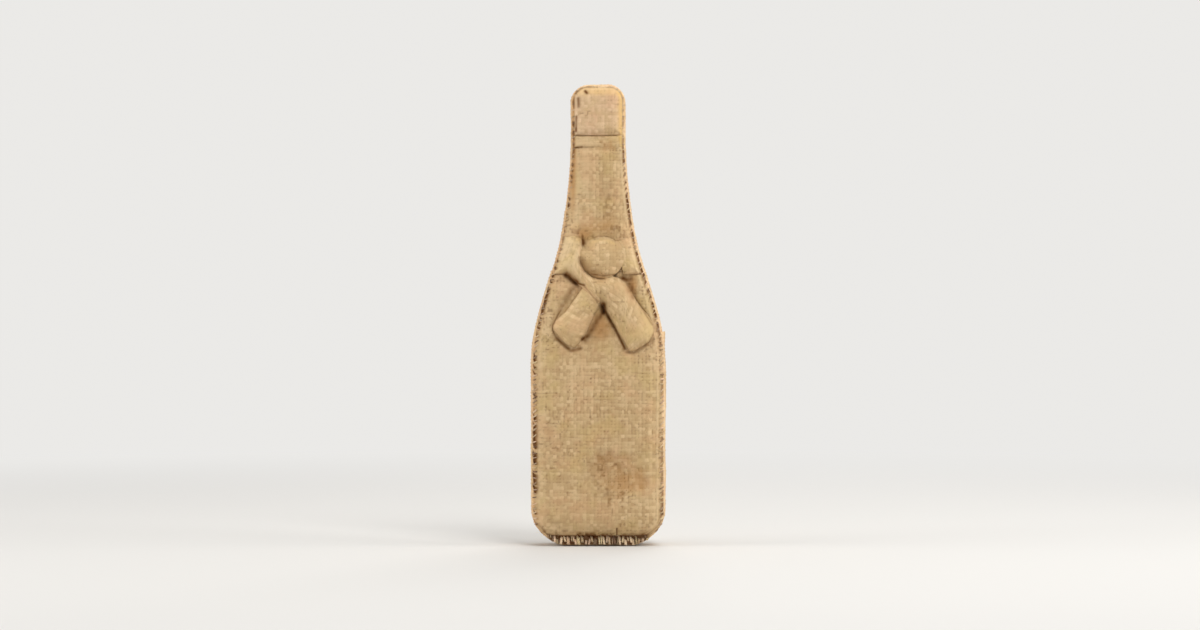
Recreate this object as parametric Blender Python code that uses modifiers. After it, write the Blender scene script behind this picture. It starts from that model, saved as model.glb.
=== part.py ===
"""Padded hessian champagne bottle, life size, standing upright.

Metres, +Z up, +X to the right of someone who faces the bottle, the front towards -Y.
The origin is at the middle of the flat base.
"""

import math

import bmesh
import bpy
import numpy as np
from mathutils import Vector

# Driving sizes of the body
HEIGHT = 0.300
BODY_HALF_WIDTH = 0.044
NECK_HALF_WIDTH = 0.0179
SHOULDER_LENGTH = 0.142
NECK_LENGTH = 0.040
SEAM_HALF_DEPTH = 0.014
PANEL_RISE = 0.004
PANEL_ROLL = 0.014

# The rounded foot and the rounded top, as the silhouette shows them
FOOT_RUN = 0.022
FOOT_RISE = 0.022
FOOT_POWER = 1.7
TOP_RADIUS = 0.012

# The seam lies inside the silhouette by these
SIDE_BULGE = 0.0027
NECK_BULGE = 0.0019
TOP_BULGE = 0.0025
BASE_BULGE = 0.0068
SEAM_FOOT_POWER = 3.0
SEAM_TOP_RADIUS = 0.009

# Cloth, board and the room between pieces
CLOTH = 0.0012
BOARD = 0.003
GAP = 0.0003
EASE = 0.0008
BASE_END_ROOM = 0.0008

# The lapped end of the short gusset, counted down from the top of the bottle
LAP_DROP = 0.1614
LAP_FLARE = 0.0018
LAP_RUN = 0.012

# Capsule and neck band, counted down from the top of the bottle
CAPSULE_LENGTH = 0.034
CAPSULE_RISE = 0.0016
CAPSULE_ROLL = 0.005
BAND_LENGTH = 0.007
BAND_RISE = 0.0006
BAND_ROLL = 0.002

# Seal and ribbons, with the seal's centre counted down from the top of the bottle
SEAL_X = 0.0024
SEAL_DROP = 0.1127
SEAL_RADIUS = 0.0137
SEAL_RISE = 0.0050
SEAL_ROLL = 0.0120
COVER = 0.001
PAD_STEP = 0.006
RIBBON_RISE = 0.0030
RIBBON_ROLL = 0.0090
UNDER_RISE = 0.0025
CREASE = 0.0008
SEAM_MARGIN = 0.0006
BOW_SPAN = 0.035
BOW_DROP = 0.062

# Whip stitches over the seam, and the heavy ones along the base
STITCH_PITCH = 0.0068
STITCH_REACH = 0.0013
STITCH_THICK = 0.0007
BASE_STITCH_PITCH = 0.0035
BASE_STITCH_HALF_RUN = 0.0300
BASE_STITCH_THICK = 0.0013

# Heights that follow from these
SHOULDER_END = HEIGHT - NECK_LENGTH
SHOULDER_START = SHOULDER_END - SHOULDER_LENGTH
LAP_HEIGHT = HEIGHT - LAP_DROP
SEAL_Z = HEIGHT - SEAL_DROP
CAPSULE_BOTTOM = HEIGHT - CAPSULE_LENGTH
BAND_TOP = CAPSULE_BOTTOM - CREASE
BAND_BOTTOM = BAND_TOP - BAND_LENGTH

# How far the side has drawn in at shares of the shoulder's height
SHOULDER_SHARES = (
    (0.0, 1.0),
    (0.075, 0.975),
    (0.145, 0.92),
    (0.22, 0.832),
    (0.3, 0.71),
    (0.38, 0.573),
    (0.46, 0.425),
    (0.54, 0.298),
    (0.62, 0.217),
    (0.7, 0.145),
    (0.8, 0.08),
    (0.9, 0.031),
    (1.0, 0.0),
)
# Across the gusset: place in the depth, bulge at the sides, bulge at the base
GUSSET_SHARES = (
    (-1.0, 0.0, 0.0),
    (-0.9, 0.436, 1.0),
    (-0.5, 0.866, 1.0),
    (0.0, 1.0, 1.0),
    (0.5, 0.866, 1.0),
    (0.9, 0.436, 1.0),
    (1.0, 0.0, 0.0),
)
PANEL_COLUMN_SHARES = (0.0, 0.3, 0.55, 0.75, 0.88, 0.96, 1.0)
PAD_COLUMN_SHARES = (0.0, 0.3, 0.58, 0.82, 1.0)
PAD_END_SHARE = 0.3
SEAL_RING_SHARES = (0.0, 0.4, 0.7, 0.88, 1.0)
MERGE_SHARE = 0.01

# Ribbon corners as shares of BOW_SPAN and BOW_DROP, counted from the seal's centre
OVER_LOWER_SHARES = (
    (-0.666, -0.181),
    (-0.44, -0.29),
    (-0.211, -0.402),
    (0.014, -0.513),
    (0.143, -0.634),
    (0.274, -0.756),
    (0.403, -0.879),
    (0.483, -0.956),
    (0.529, -0.99),
    (0.62, -0.975),
)
OVER_ARC_DEGREES = (172.0, 210.0, 250.0, 290.0)
OVER_UPPER_SHARES = (
    (0.386, -0.247),
    (0.66, -0.477),
    (0.934, -0.711),
    (0.94, -0.806),
    (0.86, -0.89),
)
UNDER_LEFT_SHARES = (
    (-0.386, -0.337),
    (-0.64, -0.547),
    (-0.897, -0.758),
    (-0.777, -0.839),
    (-0.654, -0.915),
)
UNDER_RIGHT_SHARES = (
    (-0.04, -0.506),
    (-0.197, -0.677),
    (-0.351, -0.848),
    (-0.429, -0.905),
    (-0.506, -0.953),
)
COLLAR_TOP_SHARE = 0.21
COLLAR_FOOT_SHARE = -0.175
COLLAR_INNER_SHARE = (0.40, -0.20)
COLLAR_ARC_DEGREES = (-18.0, 6.0, 30.0, 50.0)

FOOT_STEPS = 4
SIDE_STEPS = 3
NECK_STEPS = 3
TOP_STEPS = 3
SEAL_SEGMENTS = 20
BASE_STEPS = 8
THREAD_RESOLUTION = 1
SHARP_DEGREES = 40.0
TINY = 1e-12

HESSIAN = (0.51, 0.34, 0.165)
DARK_HESSIAN = (0.36, 0.22, 0.09)
PALE_HESSIAN = (0.62, 0.44, 0.235)
CAPSULE_TAN = (0.63, 0.43, 0.25)
THREAD = (0.66, 0.50, 0.31)
FOAM = (0.85, 0.82, 0.72)
WADDING = (0.88, 0.86, 0.80)
GREYBOARD = (0.42, 0.38, 0.33)
MATT = 0.9


def clear_scene():
    for found in list(bpy.data.objects):
        bpy.data.objects.remove(found, do_unlink=True)


def make_collection(name):
    collection = bpy.data.collections.new(name)
    bpy.context.scene.collection.children.link(collection)
    return collection


def make_material(name, colour):
    material = bpy.data.materials.new(name)
    material.use_nodes = True
    shader = material.node_tree.nodes["Principled BSDF"]
    shader.inputs["Base Color"].default_value = (*colour, 1.0)
    shader.inputs["Roughness"].default_value = MATT
    shader.inputs["Metallic"].default_value = 0.0
    return material


def add_piece(name, mesh, colour):
    mesh.shade_smooth()
    mesh.set_sharp_from_angle(angle=math.radians(SHARP_DEGREES))
    mesh.materials.append(make_material(name, colour))
    piece = bpy.data.objects.new(name, mesh)
    BOTTLE.objects.link(piece)
    return piece


def mirrored(shares):
    """The shares on both sides of the middle, from -1 to 1."""
    return [-share for share in reversed(shares[1:])] + list(shares)


# Outlines

def half_outline(half_body, half_neck, foot, top, foot_run, foot_rise, foot_power, top_radius):
    """The right half, from the end of the flat base up to the end of the flat top."""
    points = []
    neck_end = top - top_radius
    for step in range(FOOT_STEPS + 1):
        angle = math.pi / 2 * step / FOOT_STEPS
        across = math.sin(angle) ** (2 / foot_power)
        down = max(math.cos(angle), 0.0) ** (2 / foot_power)
        points.append((half_body - foot_run * (1 - across), foot + foot_rise * (1 - down)))
    side_start = foot + foot_rise
    for step in range(1, SIDE_STEPS):
        points.append((half_body, side_start + (SHOULDER_START - side_start) * step / SIDE_STEPS))
    for height_share, width_share in SHOULDER_SHARES:
        points.append((
            half_neck + (half_body - half_neck) * width_share,
            SHOULDER_START + (SHOULDER_END - SHOULDER_START) * height_share,
        ))
    for step in range(1, NECK_STEPS):
        points.append((half_neck, SHOULDER_END + (neck_end - SHOULDER_END) * step / NECK_STEPS))
    for step in range(TOP_STEPS + 1):
        angle = math.pi / 2 * step / TOP_STEPS
        points.append((
            half_neck - top_radius * (1 - math.cos(angle)),
            neck_end + top_radius * math.sin(angle),
        ))
    return np.array(points)


def silhouette(inset=0.0):
    return half_outline(
        BODY_HALF_WIDTH - inset,
        NECK_HALF_WIDTH - inset,
        inset,
        HEIGHT - inset,
        FOOT_RUN,
        FOOT_RISE,
        FOOT_POWER,
        TOP_RADIUS,
    )


def seam(inset=0.0):
    return half_outline(
        BODY_HALF_WIDTH - SIDE_BULGE - inset,
        NECK_HALF_WIDTH - NECK_BULGE - inset,
        BASE_BULGE + inset,
        HEIGHT - TOP_BULGE - inset,
        FOOT_RUN - SIDE_BULGE,
        FOOT_RISE - BASE_BULGE,
        SEAM_FOOT_POWER,
        SEAM_TOP_RADIUS,
    )


def whole_outline(half):
    """The closed outline, anticlockwise seen from the front, from the right end of the base."""
    left = half[::-1] * (-1.0, 1.0)
    return np.vstack([half, left])


def distance_inside(points, outline):
    """How far each point lies inside a closed outline, and 0 outside it."""
    points = np.atleast_2d(points)
    start = outline
    run = np.roll(outline, -1, axis=0) - start
    length = np.maximum((run ** 2).sum(axis=1), TINY ** 2)
    offset = points[:, None, :] - start[None, :, :]
    along = np.clip((offset * run[None, :, :]).sum(axis=2) / length, 0.0, 1.0)
    nearest = offset - along[:, :, None] * run[None, :, :]
    distance = np.sqrt((nearest ** 2).sum(axis=2)).min(axis=1)
    x = points[:, :1]
    z = points[:, 1:]
    rises = (start[None, :, 1] > z) != ((start + run)[None, :, 1] > z)
    slope = np.where(np.abs(run[:, 1]) > TINY, run[:, 1], 1.0)
    crossing = start[None, :, 0] + (z - start[None, :, 1]) * run[None, :, 0] / slope[None, :]
    inside = (rises & (x < crossing)).sum(axis=1) % 2 == 1
    return np.where(inside, distance, 0.0)


def between(one, other, share):
    return one + (other - one) * share


def dome(distance, rise, roll):
    """The height of a padded surface that rolls up from its edge and then lies level."""
    share = np.clip(np.asarray(distance) / roll, 0.0, 1.0)
    return rise * np.sqrt(1 - (1 - share) ** 2)


def panel_front(points):
    """Y of the front panel's outer face."""
    return -(SEAM_HALF_DEPTH + CLOTH + dome(distance_inside(points, SEAM_OUTLINE), PANEL_RISE, PANEL_ROLL))


def panel_back(points):
    """Y of the front panel's inner face."""
    within = distance_inside(points, SEAM_OUTLINE) - CLOTH
    return -(SEAM_HALF_DEPTH + dome(within, PANEL_RISE, PANEL_ROLL))


# Builders

def grid_layer(name, places, front, back, colour):
    """A closed piece on a grid of (x, z) places, between two faces given as y at each place."""
    rows, columns = places.shape[:2]
    mesh_maker = bmesh.new()
    bmesh.ops.create_grid(mesh_maker, x_segments=columns - 1, y_segments=rows - 1, size=1.0)
    mesh_maker.verts.ensure_lookup_table()
    flat = places.reshape(-1, 2)
    front_y = front(flat)
    back_y = back(flat)
    lower = list(mesh_maker.verts)
    copied = bmesh.ops.extrude_face_region(mesh_maker, geom=list(mesh_maker.faces))["geom"]
    upper = [item for item in copied if isinstance(item, bmesh.types.BMVert)]
    index_of = {vertex.co.to_tuple(5): index for index, vertex in enumerate(lower)}
    for vertex in upper:
        index = index_of[vertex.co.to_tuple(5)]
        vertex.co = Vector((flat[index, 0], front_y[index], flat[index, 1]))
    for index, vertex in enumerate(lower):
        vertex.co = Vector((flat[index, 0], back_y[index], flat[index, 1]))
    bmesh.ops.recalc_face_normals(mesh_maker, faces=list(mesh_maker.faces))
    mesh = bpy.data.meshes.new(name)
    mesh_maker.to_mesh(mesh)
    mesh_maker.free()
    return add_piece(name, mesh, colour)


def panel_places(half, column_shares):
    """Rows of places up the bottle, each row from the left seam to the right."""
    shares = np.array(mirrored(column_shares))
    return np.array([[(share * width, height) for share in shares] for width, height in half])


def flat_piece(name, half, front_y, thickness, colour):
    """A flat sheet cut to the seam's outline, standing upright."""
    outline = whole_outline(half)
    curve = bpy.data.curves.new(name, "CURVE")
    curve.dimensions = "2D"
    curve.fill_mode = "BOTH"
    curve.extrude = thickness / 2
    spline = curve.splines.new("POLY")
    spline.points.add(len(outline) - 1)
    for point, (x, z) in zip(spline.points, outline):
        point.co = (x, z, 0.0, 1.0)
    spline.use_cyclic_u = True
    curve.materials.append(make_material(name, colour))
    piece = bpy.data.objects.new(name, curve)
    piece.rotation_euler = (math.pi / 2, 0.0, 0.0)
    piece.location = (0.0, front_y + thickness / 2, 0.0)
    BOTTLE.objects.link(piece)
    return piece


def gusset_piece(name, inner, outer, side_shares, colour):
    """A strip that follows an outline and bulges from the seam to the silhouette.

    inner and outer are lists of (x, z) along the strip, and side_shares says at each of them how far
    the bulge is the side's round one rather than the base's flat one.
    """
    stations = len(inner)
    mesh_maker = bmesh.new()
    bmesh.ops.create_grid(
        mesh_maker, x_segments=len(GUSSET_SHARES) - 1, y_segments=stations - 1, size=1.0
    )
    mesh_maker.verts.ensure_lookup_table()
    half_depth = SEAM_HALF_DEPTH - GAP
    for index, vertex in enumerate(mesh_maker.verts):
        station, column = divmod(index, len(GUSSET_SHARES))
        depth_share, side_share, base_share = GUSSET_SHARES[column]
        bulge = base_share + (side_share - base_share) * side_shares[station]
        x, z = between(inner[station], outer[station], bulge)
        vertex.co = Vector((x, depth_share * half_depth, z))
    bmesh.ops.recalc_face_normals(mesh_maker, faces=list(mesh_maker.faces))
    mesh_maker.faces.ensure_lookup_table()
    middle = mesh_maker.faces[len(mesh_maker.faces) // 2]
    outward = Vector((middle.calc_center_median().x, 0.0, middle.calc_center_median().z - HEIGHT / 2))
    if middle.normal.dot(outward) < 0:
        bmesh.ops.reverse_faces(mesh_maker, faces=list(mesh_maker.faces))
    mesh = bpy.data.meshes.new(name)
    mesh_maker.to_mesh(mesh)
    mesh_maker.free()
    piece = add_piece(name, mesh, colour)
    thick = piece.modifiers.new("cloth", "SOLIDIFY")
    thick.thickness = CLOTH
    thick.offset = -1.0
    thick.use_even_offset = True
    return piece


# The body

def make_front_panel():
    places = panel_places(seam(), PANEL_COLUMN_SHARES)
    grid_layer("front_panel", places, panel_front, panel_back, HESSIAN)


def make_back():
    flat_piece("back_panel", seam(), SEAM_HALF_DEPTH + GAP, CLOTH, HESSIAN)
    board_front = SEAM_HALF_DEPTH - BOARD
    flat_piece("backing_board", seam(CLOTH + GAP), board_front, BOARD, GREYBOARD)


def side_share_at(row):
    """1 where the gusset bulges round, falling to 0 at the flat base."""
    return min(row / FOOT_STEPS, 1.0)


def grid_rim(rows, columns):
    """The row and column of each place round the edge of a grid, in order."""
    rim = [(0, column) for column in range(columns)]
    rim += [(row, columns - 1) for row in range(1, rows)]
    rim += [(rows - 1, column) for column in range(columns - 2, -1, -1)]
    rim += [(row, 0) for row in range(rows - 2, 0, -1)]
    return rim


def make_foam_core():
    """Crowned in front, bulged at the sides inside the gusset, and flat against the board."""
    inset = CLOTH + GAP
    inner = seam(inset)
    outer = silhouette(inset)
    places = panel_places(inner, PANEL_COLUMN_SHARES)
    rows, columns = places.shape[:2]
    flat = places.reshape(-1, 2)
    within = distance_inside(flat, SEAM_OUTLINE) - inset - EASE
    front_y = -(SEAM_HALF_DEPTH - GAP + dome(within, PANEL_RISE, PANEL_ROLL))
    mesh_maker = bmesh.new()
    bmesh.ops.create_grid(mesh_maker, x_segments=columns - 1, y_segments=rows - 1, size=1.0)
    mesh_maker.verts.ensure_lookup_table()
    for vertex, (x, z), y in zip(mesh_maker.verts, flat, front_y):
        vertex.co = Vector((x, y, z))
    rim = grid_rim(rows, columns)
    ring = [mesh_maker.verts[row * columns + column] for row, column in rim]
    shares = mirrored(PANEL_COLUMN_SHARES)
    seam_places = [inner[row] * (shares[column], 1.0) for row, column in rim]
    edge_places = [outer[row] * (shares[column], 1.0) for row, column in rim]
    rear = SEAM_HALF_DEPTH - BOARD - GAP
    room = SEAM_HALF_DEPTH - 2 * CLOTH - GAP
    rings = [(-(SEAM_HALF_DEPTH - CLOTH - GAP), 0.0, 0.0)]
    rings += [(share * room, side, base) for share, side, base in GUSSET_SHARES[1:-1]]
    rings.append((rear, 0.0, 0.0))
    for depth, side, base in rings:
        following = []
        for place, edge, (row, _) in zip(seam_places, edge_places, rim):
            x, z = between(place, edge, base + (side - base) * side_share_at(row))
            following.append(mesh_maker.verts.new((x, depth, z)))
        for step in range(len(ring)):
            after = (step + 1) % len(ring)
            mesh_maker.faces.new((ring[step], ring[after], following[after], following[step]))
        ring = following
    mesh_maker.faces.new(ring)
    bmesh.ops.recalc_face_normals(mesh_maker, faces=list(mesh_maker.faces))
    mesh = bpy.data.meshes.new("foam_core")
    mesh_maker.to_mesh(mesh)
    mesh_maker.free()
    add_piece("foam_core", mesh, FOAM)


def make_gussets():
    """The long strip runs up the left side, over the top and down to the lap on the right."""
    inner = seam()
    outer = silhouette()
    rows = len(inner)
    lap_row = int(np.argmin(np.abs(outer[:, 1] - LAP_HEIGHT)))
    shares = [side_share_at(row) for row in range(rows)]
    left_inner = inner * (-1.0, 1.0)
    left_outer = outer * (-1.0, 1.0)
    top_inner = np.array([(0.0, inner[-1][1])])
    top_outer = np.array([(0.0, outer[-1][1])])
    long_inner = np.vstack([left_inner, top_inner, inner[::-1][: rows - lap_row]])
    long_outer = np.vstack([left_outer, top_outer, outer[::-1][: rows - lap_row]])
    long_shares = shares + [1.0] * (1 + rows - lap_row)
    long_inner[-1] = long_inner[-1] + (0.0, GAP)
    long_outer[-1] = long_outer[-1] + (0.0, GAP)
    gusset_piece("side_gusset", long_inner, long_outer, long_shares, DARK_HESSIAN)

    flared = outer[: lap_row + 1].copy()
    below_lap = outer[lap_row][1] - flared[:, 1]
    flared[:, 0] += LAP_FLARE * np.clip(1 - below_lap / LAP_RUN, 0.0, 1.0)
    short_inner = inner[: lap_row + 1][::-1]
    gusset_piece("short_gusset", short_inner, flared[::-1], shares[: lap_row + 1][::-1], DARK_HESSIAN)

    steps = np.array([-1 + 2 * step / BASE_STEPS for step in range(BASE_STEPS + 1)])
    base_inner = np.array([(step * (inner[0][0] - BASE_END_ROOM), inner[0][1]) for step in steps])
    base_outer = np.array([(step * (outer[0][0] - BASE_END_ROOM), outer[0][1]) for step in steps])
    gusset_piece("base_gusset", base_inner, base_outer, [0.0] * len(steps), DARK_HESSIAN)


# Padded pieces sewn on the front

def strip_outline(rows):
    return np.array([row[0] for row in rows] + [row[1] for row in reversed(rows)])


def with_finer_rows(rows):
    """Rows no further apart than PAD_STEP, and two close to each end, where the padding rolls over."""
    finer = [rows[0]]
    for one, other in zip(rows, rows[1:]):
        run = np.linalg.norm(other.mean(axis=0) - one.mean(axis=0))
        parts = max(math.ceil(run / PAD_STEP), 1)
        finer += [between(one, other, step / parts) for step in range(1, parts + 1)]
    near = between(finer[0], finer[1], PAD_END_SHARE)
    last = between(finer[-1], finer[-2], PAD_END_SHARE)
    return [finer[0], near] + finer[1:-1] + [last, finer[-1]]


def drawn_in(rows, inset):
    """The same strip, smaller by the inset all round, square to its own edge."""
    outline = strip_outline(rows)
    forward = np.roll(outline, -1, axis=0) - outline
    forward /= np.linalg.norm(forward, axis=1)[:, None]
    backward = np.roll(forward, 1, axis=0)
    area = (outline[:, 0] * np.roll(outline, -1, axis=0)[:, 1]).sum()
    area -= (outline[:, 1] * np.roll(outline, -1, axis=0)[:, 0]).sum()
    side = math.copysign(1.0, area)
    normals = np.column_stack([-forward[:, 1] - backward[:, 1], forward[:, 0] + backward[:, 0]])
    lengths = (normals ** 2).sum(axis=1)[:, None]
    moved = outline + 2 * side * inset * normals / np.maximum(lengths, 1.0)
    return [np.array(pair) for pair in zip(moved[: len(rows)], moved[len(rows):][::-1])]


def strip_places(rows):
    shares = np.array(mirrored(PAD_COLUMN_SHARES))
    return np.array([[between(row[0], row[1], (1 + share) / 2) for share in shares] for row in rows])


def padded_strip(name, rows, rise, roll, colour):
    """A cover and the wadding under it, on the front panel."""
    rows = [np.array(row) for row in rows]
    outline = strip_outline(rows)

    def seat(points):
        return panel_front(points) - GAP

    def cover_front(points):
        return seat(points) - COVER - dome(distance_inside(points, outline), rise, roll)

    def cover_back(points):
        return seat(points) - dome(distance_inside(points, outline) - COVER, rise, roll)

    def wadding_front(points):
        within = distance_inside(points, outline) - COVER - EASE
        return seat(points) - np.maximum(dome(within, rise, roll) - EASE, GAP / 2)

    grid_layer(name + "_cover", strip_places(with_finer_rows(rows)), cover_front, cover_back, colour)
    smaller = drawn_in(rows, 2 * COVER + EASE)
    places = strip_places(with_finer_rows(smaller))
    grid_layer(name + "_wadding", places, wadding_front, seat, WADDING)


def bow_place(share_x, share_z):
    return np.array((SEAL_X + share_x * BOW_SPAN, SEAL_Z + share_z * BOW_DROP))


def beside_seal(directions):
    """Places round the seal, far enough out that the straight runs between them clear it."""
    steps = [abs(other - one) for one, other in zip(directions, directions[1:])]
    reach = (SEAL_RADIUS + CREASE) / math.cos(math.radians(max(steps)) / 2)
    places = []
    for degrees in directions:
        angle = math.radians(degrees)
        places.append(np.array((SEAL_X + reach * math.cos(angle), SEAL_Z + reach * math.sin(angle))))
    return places


def seam_half_width(height):
    half = seam()
    return float(np.interp(height, half[:, 1], half[:, 0])) - SEAM_MARGIN


def make_ribbon():
    """The upper ribbon runs from the left seam, round the seal, to the right tail."""
    top = SEAL_Z + COLLAR_TOP_SHARE * BOW_DROP
    foot = SEAL_Z + COLLAR_FOOT_SHARE * BOW_DROP
    lower = [np.array((-seam_half_width(foot), foot))]
    lower += [bow_place(*shares) for shares in OVER_LOWER_SHARES]
    upper = [np.array((-seam_half_width(top), top))]
    upper.append(np.array((SEAL_X - SEAL_RADIUS, top)))
    upper += beside_seal(OVER_ARC_DEGREES)
    upper += [bow_place(*shares) for shares in OVER_UPPER_SHARES]
    padded_strip("ribbon", list(zip(lower, upper)), RIBBON_RISE, RIBBON_ROLL, PALE_HESSIAN)


def make_left_tail():
    left = [bow_place(*shares) for shares in UNDER_LEFT_SHARES]
    right = [bow_place(*shares) for shares in UNDER_RIGHT_SHARES]
    padded_strip("left_tail", list(zip(left, right)), UNDER_RISE, RIBBON_ROLL, PALE_HESSIAN)


def make_right_collar():
    top = SEAL_Z + COLLAR_TOP_SHARE * BOW_DROP
    foot = SEAL_Z + COLLAR_FOOT_SHARE * BOW_DROP
    inner = [bow_place(*COLLAR_INNER_SHARE)]
    inner += beside_seal(COLLAR_ARC_DEGREES)
    rise = (top - foot) / (len(inner) - 1)
    heights = [foot + rise * step for step in range(len(inner))]
    outer = [np.array((seam_half_width(height), height)) for height in heights]
    padded_strip("right_collar", list(zip(inner, outer)), RIBBON_RISE, RIBBON_ROLL, PALE_HESSIAN)


def turned_pad(name, radius, outer_face, inner_face, colour):
    """A round pad about the seal's axis, whose faces are given as heights over the panel."""
    radii = [radius * share for share in SEAL_RING_SHARES]
    profile = [(r, outer_face(radius - r)) for r in radii]
    profile += [(r, inner_face(radius - r)) for r in reversed(radii)]
    mesh_maker = bmesh.new()
    points = [mesh_maker.verts.new((r, -height, 0.0)) for r, height in profile]
    edges = [mesh_maker.edges.new(pair) for pair in zip(points, points[1:])]
    bmesh.ops.spin(
        mesh_maker,
        geom=points + edges,
        cent=(0.0, 0.0, 0.0),
        axis=(0.0, 1.0, 0.0),
        angle=2 * math.pi,
        steps=SEAL_SEGMENTS,
    )
    bmesh.ops.remove_doubles(mesh_maker, verts=list(mesh_maker.verts), dist=GAP * MERGE_SHARE)
    for vertex in mesh_maker.verts:
        x = SEAL_X + vertex.co.x
        z = SEAL_Z + vertex.co.z
        seat = float(panel_front(np.array([(x, z)]))[0]) - GAP
        vertex.co = Vector((x, seat + vertex.co.y, z))
    bmesh.ops.recalc_face_normals(mesh_maker, faces=list(mesh_maker.faces))
    mesh = bpy.data.meshes.new(name)
    mesh_maker.to_mesh(mesh)
    mesh_maker.free()
    add_piece(name, mesh, colour)


def make_seal():
    def cover_outer(within):
        return COVER + float(dome(within, SEAL_RISE, SEAL_ROLL))

    def cover_inner(within):
        return float(dome(within - COVER, SEAL_RISE, SEAL_ROLL))

    def wadding_outer(within):
        return float(dome(within + COVER + EASE, SEAL_RISE, SEAL_ROLL)) - EASE

    def on_panel(within):
        return 0.0 * within

    turned_pad("seal_cover", SEAL_RADIUS, cover_outer, cover_inner, PALE_HESSIAN)
    smaller = SEAL_RADIUS - 2 * COVER - EASE
    turned_pad("seal_wadding", smaller, wadding_outer, on_panel, WADDING)


def make_capsule():
    half = seam()
    half_neck = half[-1 - TOP_STEPS][0] - SEAM_MARGIN
    top = half[-1][1] - SEAM_MARGIN
    rows = [np.array(((-half_neck, CAPSULE_BOTTOM), (half_neck, CAPSULE_BOTTOM)))]
    radius = SEAM_TOP_RADIUS - SEAM_MARGIN
    for step in range(TOP_STEPS + 1):
        angle = math.pi / 2 * step / TOP_STEPS
        reach = half_neck - radius * (1 - math.cos(angle))
        height = top - radius * (1 - math.sin(angle))
        rows.append(np.array(((-reach, height), (reach, height))))
    padded_strip("capsule", rows, CAPSULE_RISE, CAPSULE_ROLL, CAPSULE_TAN)


def make_neck_band():
    width = seam_half_width(BAND_TOP)
    rows = [np.array(((-width, height), (width, height))) for height in (BAND_BOTTOM, BAND_TOP)]
    outline = strip_outline(rows)

    def back(points):
        return panel_front(points) - GAP

    def front(points):
        return back(points) - COVER - dome(distance_inside(points, outline), BAND_RISE, BAND_ROLL)

    middle = between(rows[0], rows[1], 0.5)
    grid_layer("neck_band", strip_places([rows[0], middle, rows[1]]), front, back, DARK_HESSIAN)


# Stitches

def thread_piece(name, places, thickness):
    """One unbroken thread through the places given."""
    curve = bpy.data.curves.new(name, "CURVE")
    curve.dimensions = "3D"
    curve.bevel_depth = thickness / 2
    curve.bevel_resolution = THREAD_RESOLUTION
    curve.use_fill_caps = True
    spline = curve.splines.new("POLY")
    spline.points.add(len(places) - 1)
    for point, place in zip(spline.points, places):
        point.co = (*place, 1.0)
    curve.materials.append(make_material(name, THREAD))
    piece = bpy.data.objects.new(name, curve)
    BOTTLE.objects.link(piece)
    return piece


def place_along(path, distance):
    """A place on a path, and the way forward there."""
    runs = np.linalg.norm(np.diff(path, axis=0), axis=1)
    ends = np.concatenate([[0.0], np.cumsum(runs)])
    step = min(max(int(np.searchsorted(ends, distance)) - 1, 0), len(runs) - 1)
    forward = (path[step + 1] - path[step]) / runs[step]
    return path[step] + forward * (distance - ends[step]), forward


def whip_stitches(name, path):
    """A thread that crosses the seam back and forth along a path with the bottle on its left."""
    total = np.linalg.norm(np.diff(path, axis=0), axis=1).sum()
    count = max(int(total / STITCH_PITCH), 1)
    radius = STITCH_THICK / 2
    places = []
    for number in range(2 * count):
        place, forward = place_along(path, (number + 0.5) * total / (2 * count))
        reach = radius + GAP + STITCH_REACH * (number % 2)
        depth = -(SEAM_HALF_DEPTH + radius) + STITCH_REACH * (number % 2)
        outward = np.array((forward[1], -forward[0]))
        x, z = place + outward * reach
        places.append((x, depth, z))
    thread_piece(name, places, STITCH_THICK)


def make_stitches():
    half = seam()
    side = half[FOOT_STEPS: len(half) - TOP_STEPS]
    over = half[len(half) - TOP_STEPS - 1:]
    whip_stitches("right_stitches", side)
    whip_stitches("left_stitches", side[::-1] * (-1.0, 1.0))
    whip_stitches("top_stitches", np.vstack([over, over[::-1] * (-1.0, 1.0)]))


def make_base_stitches():
    """A thick yarn up and down over the base seam, between the panel and the bottle's foot."""
    panel_foot = seam()[: FOOT_STEPS + 1]
    edge_foot = silhouette()[: FOOT_STEPS + 1]
    count = int(2 * BASE_STITCH_HALF_RUN / BASE_STITCH_PITCH) + 1
    flat_share = -GUSSET_SHARES[1][0]
    top_y = -(SEAM_HALF_DEPTH - GAP)
    radius = BASE_STITCH_THICK / 2
    places = []
    for number in range(count):
        x = (number - (count - 1) / 2) * BASE_STITCH_PITCH
        top = np.array((top_y, np.interp(abs(x), *panel_foot.T)))
        foot = np.array((flat_share * top_y, np.interp(abs(x), *edge_foot.T)))
        along = (foot - top) / np.linalg.norm(foot - top)
        away = np.array((along[1], -along[0]))
        lift = away * (radius + 2 * GAP)
        upper = top + lift + along * (radius + GAP)
        lower = foot + lift - along * (radius + GAP)
        ends = [upper, lower] if number % 2 == 0 else [lower, upper]
        places += [(x, y, z) for y, z in ends]
    thread_piece("base_stitches", places, BASE_STITCH_THICK)


clear_scene()
BOTTLE = make_collection("hessian_champagne_bottle")
SEAM_OUTLINE = whole_outline(seam())
make_front_panel()
make_back()
make_foam_core()
make_gussets()
make_capsule()
make_neck_band()
make_ribbon()
make_left_tail()
make_right_collar()
make_seal()
make_stitches()
make_base_stitches()
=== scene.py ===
import math

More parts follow.
